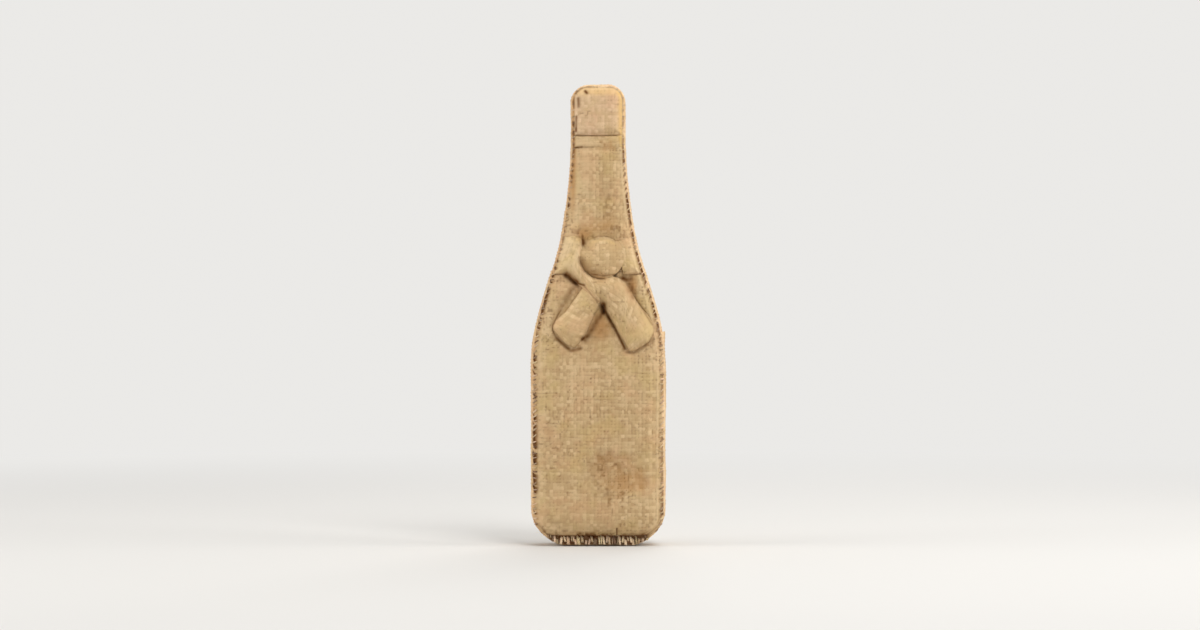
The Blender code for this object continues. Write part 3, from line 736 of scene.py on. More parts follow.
# How far apart the outlines' places lie, how many a round stretch has, and how the capsule's foot hangs
SEAM_SPACING = 0.0022
FINE_SPACING = 0.0006
SMOOTH_SPACING = 0.0015
STRIP_SPACING = 0.0012
RING_STEPS = 72
CAPSULE_CORNER_STEPS = 14
CAPSULE_FOOT_STEPS = 25
CAPSULE_SAG = 0.0007
CAPSULE_LIFT = 0.0004


def bow_places(shares):
    return np.array(shares) * (BOW_SPAN, BOW_DROP) + (SEAL_X, SEAL_Z)


def beside_seal(degrees):
    reach = SEAL_RADIUS + CREASE - TUCK
    return [(SEAL_X + reach * math.cos(a), SEAL_Z + reach * math.sin(a)) for a in np.radians(degrees)]


SEAM_HALF = seam()


def seam_reach(height):
    """How far out the seam runs at a height."""
    return np.interp(height, SEAM_HALF[:, 1], SEAM_HALF[:, 0])


def seam_half_width(height):
    return seam_reach(height) - SEAM_MARGIN


def smooth_edge(points):
    places = arc_lengths(points)
    return eased(places, points, np.linspace(0.0, places[-1], int(places[-1] / SMOOTH_SPACING) + 2))


def strip_edges(name):
    """The two long edges of a padded strip, with as many places on each."""
    if name == "ribbon":
        one = np.vstack([(-seam_half_width(COLLAR_FOOT), COLLAR_FOOT), bow_places(OVER_LOWER_SHARES)])
        corners = [(-seam_half_width(COLLAR_TOP), COLLAR_TOP), (SEAL_X - SEAL_RADIUS, COLLAR_TOP)]
        return one, np.vstack([corners, beside_seal(OVER_ARC_DEGREES), bow_places(OVER_UPPER_SHARES)])
    if name == "left_tail":
        one = bow_places(UNDER_LEFT_SHARES)
        other = bow_places(UNDER_RIGHT_SHARES)
        one[0] += UNDER_RIBBON
        other[0] += UNDER_RIBBON
        return one, other
    one = np.vstack([bow_places(COLLAR_INNER_SHARE), beside_seal(COLLAR_ARC_DEGREES)])
    heights = np.linspace(COLLAR_FOOT, COLLAR_TOP, len(one))
    return one, np.column_stack([seam_half_width(heights), heights])


def strip_rows(name, spacing):
    """The strip's edges again, smooth, with rows an even way apart."""
    one, other = strip_edges(name)
    middle = arc_lengths((one + other) / 2)
    count = int(middle[-1] / spacing) + 1
    fine = np.linspace(0.0, middle[-1], count + 1)
    return eased(middle, one, fine), eased(middle, other, fine), fine


def strip_outline(name):
    one, other, _ = strip_rows(name, STRIP_SPACING)
    return np.vstack([one, other[::-1]])


def ring(radius):
    """A circle round the seal's middle."""
    angles = np.linspace(0.0, 2 * HALF_TURN, RING_STEPS, endpoint=False)
    return np.column_stack([SEAL_X + radius * np.cos(angles), SEAL_Z + radius * np.sin(angles)])


def capsule_outline():
    half_neck = NECK_HALF_WIDTH - NECK_BULGE - SEAM_MARGIN
    top = HEIGHT - TOP_BULGE - SEAM_MARGIN
    right = crown(half_neck, top, SEAM_TOP_RADIUS - SEAM_MARGIN, CAPSULE_CORNER_STEPS)
    x = np.linspace(-half_neck, half_neck, CAPSULE_FOOT_STEPS)[1:-1]
    sag = CAPSULE_SAG * (1 - (x / half_neck) ** 2)
    foot = np.column_stack([x, CAPSULE_BOTTOM + CAPSULE_LIFT - sag])
    corner = np.array((half_neck, CAPSULE_BOTTOM + CAPSULE_LIFT))
    return np.vstack([foot, corner, right, right[::-1] * (-1.0, 1.0), corner * (-1.0, 1.0)])


SEAM_OUTLINE = whole(SEAM_HALF, SEAM_SPACING)
FINE_OUTLINE = whole(SEAM_HALF, FINE_SPACING)
PAD_OUTLINES = {name: strip_outline(name) for name in STRIPS}
PAD_OUTLINES["seal"] = ring(SEAL_RADIUS)
PAD_OUTLINES["capsule"] = capsule_outline()


def panel_level(points):
    """How far the panel's face stands in front of the middle of the bottle, without its folds."""
    return SEAM_HALF_DEPTH + CLOTH + dome(inward(points, SEAM_OUTLINE), PANEL_RISE, PANEL_ROLL)


def beside_pads(points):
    """How far each place lies outside the nearest pad, negative under one."""
    gaps = [-signed_distance(points, outline)[0] for outline in PAD_OUTLINES.values()]
    return np.min(gaps, axis=0)


# Folds and shadows in millimetres: how far each reaches, how deep and how dark it is, and its places
FOLDS = (
    (0.6, 0.5, 0.45, ((-27.6, 175.9), (-19.8, 176.1))),
    (2.3, 1.7, 1.35, ((-20.6, 175.6), (-17.3, 172.9), (-13.9, 170.6))),
    (0.9, 1.0, 1.25, ((-13.9, 170.4), (-9.2, 169.0))),
    (2.0, 0.4, 0.60, ((-15.0, 169.0), (-20.0, 161.0), (-24.5, 153.0))),
    (1.1, 0.6, 0.50, ((-12.3, 186.3), (-11.0, 182.4), (-8.6, 178.5), (-4.2, 176.1))),
    (2.2, 0.2, 0.45, ((-10.0, 184.5), (-7.0, 179.5), (-3.0, 178.0))),
    (0.6, 0.5, 0.85, ((-4.2, 176.1), (4.0, 175.1), (10.8, 175.8))),
    (1.5, 0.9, 0.85, ((-9.6, 198.2), (-9.8, 195.4))),
    (0.5, 0.4, 0.85, ((16.2, 175.6), (24.5, 176.0), (28.4, 176.5))),
    (1.9, 1.3, 1.25, ((16.0, 173.2), (18.4, 172.2), (20.6, 172.7))),
    (2.3, 0.5, 0.66, ((18.5, 171.0), (20.8, 166.5), (23.0, 161.5))),
    (0.7, 0.6, 0.62, ((23.0, 161.5), (29.3, 152.3), (34.7, 143.5))),
    (2.1, 1.8, 1.60, ((3.1, 156.6), (3.3, 151.3))),
    (1.3, 1.0, 1.25, ((4.5, 152.0), (10.4, 141.6))),
    (1.0, 0.7, 1.15, ((10.4, 141.6), (17.2, 127.9))),
    (1.3, 0.5, 0.42, ((18.5, 125.8), (22.5, 125.0), (28.4, 128.3), (35.2, 133.8))),
    (0.6, 0.5, 0.80, ((-22.2, 156.2), (-26.1, 149.8), (-29.5, 142.5), (-29.5, 139.6), (-27.1, 134.8))),
    (1.3, 0.8, 0.90, ((-27.1, 134.8), (-22.2, 130.3), (-17.4, 126.5), (-11.5, 127.9))),
    (1.9, 0.9, 1.00, ((-8.6, 133.8), (-4.7, 139.6), (0.1, 147.4), (3.1, 152.0))),
    (1.3, 0.6, 1.30, ((-10.4, 134.0), (-9.2, 134.8))),
    (0.6, 0.3, 0.40, ((-9.6, 169.0), (0.0, 157.0))),
    (0.7, 0.5, 0.60, ((-15.0, 266.0), (-9.5, 265.6))),
    (0.6, 0.4, 0.46, ((-9.5, 265.6), (2.0, 265.3), (12.0, 265.8))),
    (0.7, 0.4, 1.00, ((-15.4, 258.0), (-10.5, 258.4))),
    (0.5, 0.2, 0.36, ((-10.5, 258.4), (-3.0, 258.0))),
    (1.1, 0.5, 1.25, ((-8.4, 294.3), (-7.4, 293.2))),
    (1.1, 0.3, 0.90, ((-12.9, 289.5), (-12.6, 284.5))),
    (0.8, 0.4, 1.15, ((-14.2, 278.0), (-14.4, 268.5))),
)


def beside_line(points, line):
    """How far each place lies from an open line."""
    best = np.full(len(points), np.inf)
    for start, end in zip(line[:-1], line[1:]):
        run = end - start
        share = np.clip(((points - start) @ run) / (run @ run), 0.0, 1.0)
        best = np.minimum(best, np.linalg.norm(points - start - share[:, None] * run, axis=1))
    return best


def folded(x, z):
    """How deep the cloth lies in its folds, and how dark the painted shade in them is."""
    points = np.column_stack([x, z])
    deep = dark = np.zeros(len(points))
    for reach, depth, darkness, line in FOLDS:
        close = near(beside_line(points, np.array(line) * MM), reach * MM)
        deep = np.maximum(deep, depth * MM * close)
        dark = np.maximum(dark, darkness * close)
    return deep, dark * (0.8 + 0.2 * noise(x, z, 0.0020, 71))


# The seam's shadow at heights in millimetres: how dark it is and how far it reaches, left and then right
SEAM_SHADE = np.array((
    (0.0, 1.30, 2.4, 1.15, 2.2), (14.0, 1.30, 2.2, 1.00, 1.7), (30.0, 1.30, 2.0, 0.78, 1.1),
    (62.0, 1.30, 1.9, 0.60, 0.8), (95.0, 1.15, 1.6, 0.50, 0.8), (128.0, 1.15, 1.4, 0.62, 0.9),
    (150.0, 1.35, 1.3, 1.15, 1.2), (178.0, 1.30, 1.3, 1.25, 1.4), (196.0, 0.75, 0.9, 0.90, 0.9),
    (216.0, 1.05, 1.1, 1.25, 1.0), (250.0, 0.95, 1.1, 1.25, 1.0), (266.0, 0.95, 1.1, 0.60, 0.7),
    (290.0, 0.80, 1.0, 0.35, 0.7), (300.0, 0.50, 0.8, 0.50, 0.8),
))

# The seam's dashes as heights, sizes and seeds, and how far the left ones are shifted against the right
DASHES = ((1.0, 0.0020, 77), (0.7, 0.0085, 78))
DASH_SHIFT = 0.5
DASH_SPAN = (-0.32, 0.12)
PALE_REACH = 0.0018
SPECK_SOIL = 0.42
PANEL_SPECK_SPAN = (0.74, 1.05)
SHOULDER_SPAN = (0.128, 0.145, 0.182, 0.192)
NECK_SPAN = (0.195, 0.205)
FOOT_TOP = 0.016


def painted_seam_shade(x, z, gap):
    """The painted shade of the broken dark line along the seam, and how pale the cloth is between its dashes.
    """
    heights = SEAM_SHADE[:, 0] * MM
    left, left_reach, right, right_reach = (np.interp(z, heights, column) for column in SEAM_SHADE[:, 1:].T)
    on_left = x < 0
    reach = np.where(on_left, left_reach, right_reach) * MM
    track = z - np.abs(x) + np.where(on_left, DASH_SHIFT - 0.9 * gap, 0.9 * gap)
    fuller = 0.45 * span(z, *SHOULDER_SPAN) + np.where(on_left, 0.15, 0.45) * ramp(z, *NECK_SPAN)
    dash = ramp(lumps(track, 0.0, DASHES) + fuller, *DASH_SPAN)
    speckled_foot = ramp(FOOT_TOP - z, 0.0, 0.003) * ramp(noise(x, z, 0.0017, 80), -0.1, 0.4)
    rough = 0.86 + 0.22 * noise(x, z, 0.0015, 79) - 0.35 * speckled_foot
    line = np.where(on_left, left, right) * rough * (0.10 + 0.90 * dash) * near(gap, reach)
    return line, (1 - dash) * near(gap, PALE_REACH)


def specks(x, z, layers, low, high):
    """How soiled the cloth is by small dark specks."""
    return SPECK_SOIL * ramp(lumps(x, z, layers), low, high)


def welt(inside, z):
    """The ridge that the seam allowance makes under the cloth, beside the seam."""
    return near(inside - 0.0033 + 0.0015 * ramp(z, 0.17, 0.23), 0.0008)


def gathered(station, inside, place, reach):
    """How the cloth rises and falls between the stitches, beside the seam."""
    return np.cos(HALF_TURN * station / STITCH_PITCH) * near(inside - place, reach)


def golden(x, z):
    """The browned left edge of the neck, and below zero its golden right one."""
    left = 0.42 * ramp(z, 0.19, 0.235) * (1 - 0.5 * ramp(z, 0.262, 0.270)) * near(x + 0.0160, 0.002)
    return left - 0.8 * ramp(z, 0.245, 0.264) * near(x - 0.0148, 0.0022)


# Marks in millimetres: the place of each one's middle, and how far it reaches across and up
MARKS = {
    "bruise": (13.0, 44.5, 23.5, 16.5),
    "arch": (7.5, 56.5, 10.2, 3.4),
    "lower arch": (14.0, 52.0, 7.68, 3.2),
    "rosy": (18.0, 40.5, 15.0, 13.5),
    "speckled": (4.5, 39.0, 10.0, 13.0),
    "triangle": (1.5, 142.0, 8.5, 11.05),
    "blotch": (6.5, 219.0, 6.3, 12.6),
    "smudge": (-9.8, 201.2, 5.75, 4.6),
    "olive": (14.0, 205.0, 9.35, 5.5),
    "under band": (6.0, 259.0, 8.32, 5.2),
    "brow": (3.0, 206.0, 13.64, 6.2),
    "hollow": (22.5, 168.5, 3.78, 6.72),
    "shoulder": (29.0, 166.0, 3.0, 9.6),
    "crossing": (3.0, 171.0, 9.0, 4.5),
}


def away(x, z, mark):
    """How far each place lies from a mark's middle, as a share of the mark's reach."""
    middle_x, middle_z, reach_x, reach_z = (number * MM for number in MARKS[mark])
    return np.hypot((x - middle_x) / reach_x, (z - middle_z) / reach_z)


def spot(x, z, mark):
    return near(away(x, z, mark), 1.0)


# The bow's height over the panel: each strip's outline goes on under what covers it

TAIL_UNDER = (0.010, 0.0125)
COLLAR_UNDER = SEAL_X - 0.008


def bow_reach(name):
    if name == "ribbon":
        foot = (-seam_half_width(COLLAR_FOOT), COLLAR_FOOT)
        lower = smooth_edge(np.vstack([foot, bow_places(OVER_LOWER_SHARES)]))
        upper = smooth_edge(bow_places(OVER_UPPER_SHARES)[::-1])
        covered = [
            (SEAL_X + SEAL_RADIUS, SEAL_Z - 0.006), (SEAL_X, SEAL_Z + 0.004), (-0.0093, 0.1925),
            (-0.0135, COLLAR_TOP), (-seam_half_width(COLLAR_TOP), COLLAR_TOP),
        ]
        return np.vstack([lower, upper, covered])
    if name == "left_tail":
        left = bow_places(UNDER_LEFT_SHARES)
        right = bow_places(UNDER_RIGHT_SHARES)[::-1]
        ends = (right[-1] + TAIL_UNDER, left[0] + TAIL_UNDER)
        return np.vstack([smooth_edge(left), smooth_edge(right), *ends])
    heights = np.linspace(COLLAR_FOOT, COLLAR_TOP, 5)
    edge = np.column_stack([seam_half_width(heights), heights])
    return np.vstack([(COLLAR_UNDER, COLLAR_FOOT), edge, (0.0108, 0.1972), (COLLAR_UNDER, SEAL_Z + 0.007)])


BOW_REACH = {name: bow_reach(name) for name in STRIPS}
TAIL_RISE = 0.0050
COLLAR_RISE = 0.0028
SHOULDER_SWELL = 0.0015
PAD_LIP = 0.00035
HEM = 0.0022
SHARP_POWER = 0.58
SOFT_POWER = 1.5
SEAL_PUFF = 0.0028
SEAL_PUSH = 0.55
SEAL_TIGHT_DEGREES = 234.0
SEAL_DRAWN = 0.0034


def swell(distance, rise, roll, sharp):
    """A rise from an edge, round where the edge is sharp and gentle where it fades out."""
    share = np.clip(distance / roll, 0.0, 1.0)
    return rise * (1 - (1 - share) ** 2) ** (SOFT_POWER + (SHARP_POWER - SOFT_POWER) * sharp)


def shoulder_rise(x, z):
    """The swelling over which the collars pass into the neck."""
    from_edge = seam_reach(z) - np.abs(x)
    risen = SHOULDER_SWELL * ramp(z, 0.188, 0.1985)
    return risen * (1 - ramp(z, 0.1985, 0.217)) * ramp(from_edge, 0.0, 0.006)


def bow_edge(z):
    """How sharp the bow's edges are, which fade out in the collars."""
    return 1 - ramp(z, 0.183, 0.194)


def bow_height(points):
    """How far the bow stands out over the panel, apart from the seal."""
    x, z = points.T
    rise = TAIL_RISE + (COLLAR_RISE - TAIL_RISE) * ramp(z, 0.166, 0.180)
    insides = [inward(points, outline) for outline in BOW_REACH.values()]
    heights = [swell(inside, rise, RIBBON_ROLL, bow_edge(z)) for inside in insides]
    return np.max(heights, axis=0) + shoulder_rise(x, z)


def seal_crease(points):
    """How tightly the seal is drawn down at its edge in each direction: fully at its lower left."""
    angle = np.arctan2(points[:, 1] - SEAL_Z, points[:, 0] - SEAL_X)
    return ramp(np.cos(angle - math.radians(SEAL_TIGHT_DEGREES)), 0.45, 0.85)


def tucked(points, name):
    """How far a strip's cloth sinks where it runs in under the seal or the other ribbon."""
    radius = np.hypot(points[:, 0] - SEAL_X, points[:, 1] - SEAL_Z)
    tight = seal_crease(points)
    inside = SEAL_RADIUS + CREASE - GAP - radius
    sunk = 0.0012 * ramp(inside, 0.0001 - 0.0003 * tight, 0.0009 - 0.0001 * tight)
    if name == "left_tail":
        over = signed_distance(points, PAD_OUTLINES["ribbon"])[0]
        sunk = sunk + 0.00015 + 0.0010 * ramp(over, -0.0002, 0.0008)
    return sunk


def beside_seal_crease(points):
    """How far the bow's cloth is drawn down where it meets the seal."""
    gap = np.hypot(points[:, 0] - SEAL_X, points[:, 1] - SEAL_Z) - SEAL_RADIUS - CREASE
    share = np.clip(gap / SEAL_DRAWN, 0.0, 1.0)
    return 1 - seal_crease(points) * (1 - (1 - (1 - share) ** 2) ** 0.6)


# Cloth blown out by its filling

SIM_SCALE = 12.0
SIM_FRAMES = 20
PANEL_SIM_GRID = 0.0024
PAD_SIM_GRID = 0.0013
PAD_PRESSURE = 3.0
SEWN = 0.0007
CLOTH_SETTINGS = {
    "quality": 6, "mass": 0.3, "tension_stiffness": 15.0, "compression_stiffness": 15.0,
    "shear_stiffness": 5.0, "bending_stiffness": 0.35, "use_pressure": True, "vertex_group_mass": "pins",
}


def blown(outline, spacing, level, slack, pressure, cap, held):
    """How far the filling pushes a sewn-down cloth out, as a function of the place on it."""
    places, faces = clipped_grid(outline, spacing)
    start = level(places)
    rim = np.zeros(len(places), bool)
    rim[np.unique(open_edges(faces))] = True
    mesh = bpy.data.meshes.new("blown")
    corners = np.column_stack([places[:, 0], -start, places[:, 1]]) * SIM_SCALE
    mesh.from_pydata(corners.tolist(), [], [tuple(face) for face in faces.tolist()])
    sheet = linked("blown", mesh)
    pins = sheet.vertex_groups.new(name="pins")
    pins.add([int(index) for index in np.nonzero(rim | held(places))[0]], 1.0, "REPLACE")
    settings = sheet.modifiers.new("cloth", "CLOTH").settings
    for setting, value in CLOTH_SETTINGS.items():
        setattr(settings, setting, value)
    settings.shrink_min = -slack
    settings.uniform_pressure_force = pressure
    settings.effector_weights.gravity = 0.0
    scene = bpy.context.scene
    for step in range(1, SIM_FRAMES + 1):
        scene.frame_set(step)
    evaluated = sheet.evaluated_get(bpy.context.evaluated_depsgraph_get())
    after = np.empty(len(places) * 3)
    evaluated.data.vertices.foreach_get("co", after)
    out = np.clip(-after.reshape(-1, 3)[:, 1] / SIM_SCALE - start, -cap, cap)
    bpy.data.objects.remove(sheet, do_unlink=True)
    bpy.data.meshes.remove(mesh)
    scene.frame_set(1)
    low = places.min(axis=0) - 2 * spacing
    cells = np.rint((places - low) / spacing).astype(int)
    table = np.zeros(cells.max(axis=0) + 4)
    table[cells[:, 0], cells[:, 1]] = out

    def read(points):
        at = (points - low) / spacing
        cell = np.floor(at).astype(int)
        share = at - cell
        total = np.zeros(len(points))
        for i in range(-1, 3):
            for j in range(-1, 3):
                column, row = (np.clip(cell + (i, j), 0, np.array(table.shape) - 1)).T
                total += kernel(share[:, 0] - i) * kernel(share[:, 1] - j) * table[column, row]
        return total

    return read


def kernel(distance):
    """A cubic bell over two cells each way, whose copies add up to 1."""
    d = np.abs(distance)
    inner = 2 / 3 - d ** 2 + d ** 3 / 2
    outer = np.clip(2 - d, 0.0, 2.0) ** 3 / 6
    return np.where(d < 1, inner, outer)


def swollen(places, outline, level, slack, cap, fading, push=1.0):
    """The height of a pad's cloth: its level, and what the filling adds away from its sewn edge."""
    def held(points):
        return signed_distance(points, outline)[0] < SEWN

    out = blown(outline, PAD_SIM_GRID, level, slack, PAD_PRESSURE, cap, held)
    return level(places) + push * out(places) * ramp(inward(places, outline), 0.0, fading)


# The front panel

SLIT_X = 0.0120
SLIT_LOW = 0.0070
SLIT_HIGH = 0.0116
STITCH_PITCH = 0.0034
STITCH_RADIUS = 0.00046
# How dark the painted shade is in the weave's holes and on the turned-in hem
PIT_SHADE = 0.62
HEM_SHADE = 0.9
FRONT_SEED = 11
BACK_SEED = 61
WEAVE_EDGE = 0.0012
# How far back the dent, the slit and the cloth under the pads lie, and how high the tails reach
PRESSED = 0.0014
TAILS_TOP = 0.18


def panel_blown():
    def held(points):
        signed, _, station = signed_distance(points, SEAM_OUTLINE)
        stitched_down = (signed < 0.0028) & (np.cos(HALF_TURN * station / STITCH_PITCH) > 0.2)
        return stitched_down | (beside_pads(points) < 0.0008)

    return blown(SEAM_OUTLINE, PANEL_SIM_GRID, panel_level, slack=0.045, pressure=2.4, cap=0.0016, held=held)


def stain_and_dent_shade(x, z):
    """The brown bruise low on the right: how brown each place is, its darker upper rim of stain and painted
    shade at the dent's edge, and its specks.
    """
    ragged = lumps(x, z, ((0.30, 0.010, 31), (0.18, 0.0035, 32)))
    bruise = 1 - ramp(away(x, z, "bruise") + ragged, 0.35, 1.15)
    arch = near(away(x, z, "arch") + 1.18 * ragged, 1.0)
    arch = most(arch, 0.75 * near(away(x, z, "lower arch") + 1.25 * ragged, 1.0))
    rosy = 1 - ramp(away(x, z, "rosy") + 0.7 * ragged, 0.2, 1.25)
    speckled = 1 - ramp(away(x, z, "speckled") + 1.6 * ragged, 0.3, 1.1)
    return bruise, arch, rosy, speckled * ramp(noise(x, z, 0.0017, 33), 0.0, 0.5)


def marked(x, z):
    """The dirt, browning and paleness of the marks on the neck and the shoulders, with painted shade above
    the seal, in the smudge at its upper left and beside the right tail, and painted light on the left flank
    and the left of the neck.
    """
    blotch, smudge, olive, under_band, brow, hollow, shoulder = (
        spot(x, z, mark) for mark in ("blotch", "smudge", "olive", "under band", "brow", "hollow", "shoulder")
    )
    # Painted light on the left flank and on the left of the neck
    flank = ramp(-0.0115 - x, 0.0, 0.003) * span(z, 0.188, 0.200, 0.222, 0.240)
    pale_neck = ramp(-0.0035 - x, 0.0, 0.004) * span(z, 0.224, 0.236, 0.262, 0.266)
    grain = noise(x, z, 0.0020, 49)
    # Dirt, with painted shade in the smudge and the hollow
    marked_dirt_and_shade = 0.36 * blotch + 0.75 * smudge + 0.42 * olive + 0.3 * hollow
    marked_dirt_and_shade *= ramp(noise(x, z, 0.0017, 45), 0.05, 0.6)
    # Browning, with painted shade in the smudge, the brow over the seal and the hollow beside the right tail
    browning_and_shade = 0.55 * smudge + 0.2 * blotch + 0.42 * brow + 0.5 * under_band * (0.8 + 0.4 * grain)
    browning_and_shade += 0.75 * hollow - 0.85 * shoulder
    # Paler with painted light on the flank and the neck's left, darker with painted shade over the seal and
    # in the smudge
    pale = 2.0 * flank + 1.1 * pale_neck + shoulder * (0.7 + 0.9 * grain) - 0.6 * brow - 0.5 * smudge
    return marked_dirt_and_shade, browning_and_shade, pale


def painted_foot_shade(x, z, inside):
    """Painted shade at the foot of the front: a line on the seam and a broken one with ticks above it."""
    foot = (0.62 + 0.3 * noise(x, z, 0.0022, 40)) * ramp(0.013 - z, 0.0, 0.003)
    foot *= ramp(0.036 - np.abs(x), 0.0, 0.006)
    ticks = ramp(noise(x, 0.0, 0.0017, 47), 0.05, 0.5) * ramp(0.0125 - z, 0.0, 0.001)
    above = (0.12 + 0.5 * ticks) * near(inside - 0.0034, 0.0010)
    return foot * most(1.15 * near(inside, 0.0008), above)


def make_front_panel():
    places, faces = clipped_grid(FINE_OUTLINE, PANEL_GRID)
    x, z = places.T
    signed, _, station = signed_distance(places, SEAM_OUTLINE)
    inside = np.maximum(signed, 0.0)
    outside_pad = beside_pads(places)
    pad_edge = np.maximum(outside_pad, 0.0)
    lift, over, tone, pit = woven(x, z, FRONT_SEED)
    dent, arch, rosy, speckled = stain_and_dent_shade(x, z)
    slit = near(x - SLIT_X, 0.0005) * span(z, SLIT_LOW - 0.0004, SLIT_LOW, SLIT_HIGH, SLIT_HIGH + 0.0008)
    deep, dark = folded(x, z)
    ridge = welt(inside, z)
    level = dome(inside, PANEL_RISE, PANEL_ROLL) + panel_blown()(places)
    level += lumps(x, z, ((0.00030, 0.026, 21), (0.00016, 0.009, 22)))
    level += 0.00020 * gathered(station, inside, 0.0018, 0.0016) + 0.00042 * ridge + shoulder_rise(x, z)
    level -= PRESSED * (dent + slit + (outside_pad < -0.0005)) + 0.0003 * arch + deep
    level -= 0.0003 * near(pad_edge, 0.0016) * (z < TAILS_TOP)
    level += weave_rise(lift, inside, WEAVE_EDGE)
    line, between = painted_seam_shade(x, z, inside)
    triangle = spot(x, z, "triangle")
    marked_dirt_and_shade, browning_and_shade, pale = marked(x, z)
    # Dirt, and painted shade along the seam and the foot, beside the tails, in folds, in the slit and in the
    # weave's holes
    soil = most(
        line, painted_foot_shade(x, z, inside), 0.14 * near(pad_edge, 0.0012) * (z < TAILS_TOP), dark,
        0.95 * slit,
        specks(x, z, ((1.0, 0.0013, 42), (0.4, 0.016, 43)), *PANEL_SPECK_SPAN), PIT_SHADE * pit,
    )
    # The arch is stain and painted shade at the dent's upper edge; the marks add dirt and painted shade
    soil = soil + 0.33 * arch * (0.7 + 0.5 * noise(x, z, 0.0022, 46)) + 0.05 * dent + 0.42 * speckled + marked_dirt_and_shade
    soil = most(soil, triangle * (0.16 + 0.2 * noise(x, z, 0.002, 48)))
    browned = near(inside, 0.0036) * np.where(x < 0, 0.32, 0.16)
    warm = most(0.26 * (dent + arch) + 0.36 * rosy + browning_and_shade + browned + golden(x, z), 0.72 * triangle)
    # A painted highlight along the welt beside the seam, and a painted stripe of light further in on the left
    left_painted_highlight = near(inside - 0.0056, 0.0016) * (x < 0) * (z < 0.17)
    tone = 1.3 * tone + (1.1 + 0.9 * (x > 0)) * ridge + 0.5 * left_painted_highlight + 1.0 * between - 0.2 * dent
    tone += 0.3 * noise(x, z, 0.035, 44) + pale + 1.2 * browned
    corners = np.column_stack([x, -(SEAM_HALF_DEPTH + CLOTH + level), z])
    piece = hemmed("front_cover", HESSIAN["body"], corners, faces, HEM, HEM_SHADE,
                   lift=lift, over=over, tone=tone, soil=soil, warm=warm, u=x, v=z)
    placed(piece, "body_hessian", "front_panel")


# The back panel

BACK_HEM = -0.0014
BACK_RISE = 0.0007
BACK_ROLL = 0.006
BACK_SUNK = 0.0004


def make_back_panel():
    places, faces = clipped_grid(FINE_OUTLINE, BACK_GRID)
    x, z = places.T
    signed, _, station = signed_distance(places, SEAM_OUTLINE)
    inside = np.maximum(signed, 0.0)
    lift, over, tone, pit = woven(x, z, BACK_SEED)
    ridge = welt(inside, z)
    level = dome(inside, BACK_RISE, BACK_ROLL) + lumps(x, z, ((0.00022, 0.03, 62), (0.0001, 0.01, 63)))
    level += 0.0002 * gathered(station, inside, 0.002, 0.0022) + 0.0003 * ridge
    level += weave_rise(lift, inside, WEAVE_EDGE)
    soil, between = painted_seam_shade(-x, z, inside)
    specked = specks(x, z, ((1.0, 0.0013, 65), (0.4, 0.016, 66)), *PANEL_SPECK_SPAN)
    soil = most(soil, specked, PIT_SHADE * pit)
    foot = ramp(0.014 + 0.006 * noise(x, z, 0.012, 68) - z, 0.0, 0.012)
    soil = np.clip(soil + 0.2 * foot, 0.0, 1.0)
    # The welt's ridge carries a painted highlight
    tone = tone + 0.9 * ridge + 0.3 * noise(x, z, 0.035, 67) + 0.7 * between
    corners = np.column_stack([x, SEAM_HALF_DEPTH + GAP + CLOTH - BACK_SUNK + level, z])
    piece = hemmed("back_cover", HESSIAN["body"], corners, faces[:, ::-1], BACK_HEM, HEM_SHADE,
                   lift=lift, over=over, tone=tone, soil=soil, warm=0.25 * foot, u=x, v=z)
    placed(piece, "body_hessian", "back_panel")


# The gusset

# The powers of the curve in which the strip bulges under the base
BASE_ROUND = 14
BASE_SQUARE = 1 / 5
SECTION_STEPS = 161


def cross_sections(inner, outer, side_shares, half_depth, columns):
    """Points across the strip at each station, evenly spaced, from the front seam to the back one."""
    t = np.sin(np.linspace(-HALF_TURN / 2, HALF_TURN / 2, SECTION_STEPS))
    side = np.sqrt(1 - t ** 2)
    base = (1 - np.abs(t) ** BASE_ROUND) ** BASE_SQUARE
    rows = []
    widths = []
    for start, end, share in zip(inner, outer, side_shares):
        x, z = start[:, None] + (end - start)[:, None] * (base + (side - base) * share)
        line = np.column_stack([x, half_depth * t, z])
        lengths = arc_lengths(line)
        fine = np.linspace(0.0, lengths[-1], columns)
        rows.append(np.column_stack([np.interp(fine, lengths, column) for column in line.T]))
        widths.append(fine - lengths[-1] / 2)
    return np.array(rows), np.array(widths)


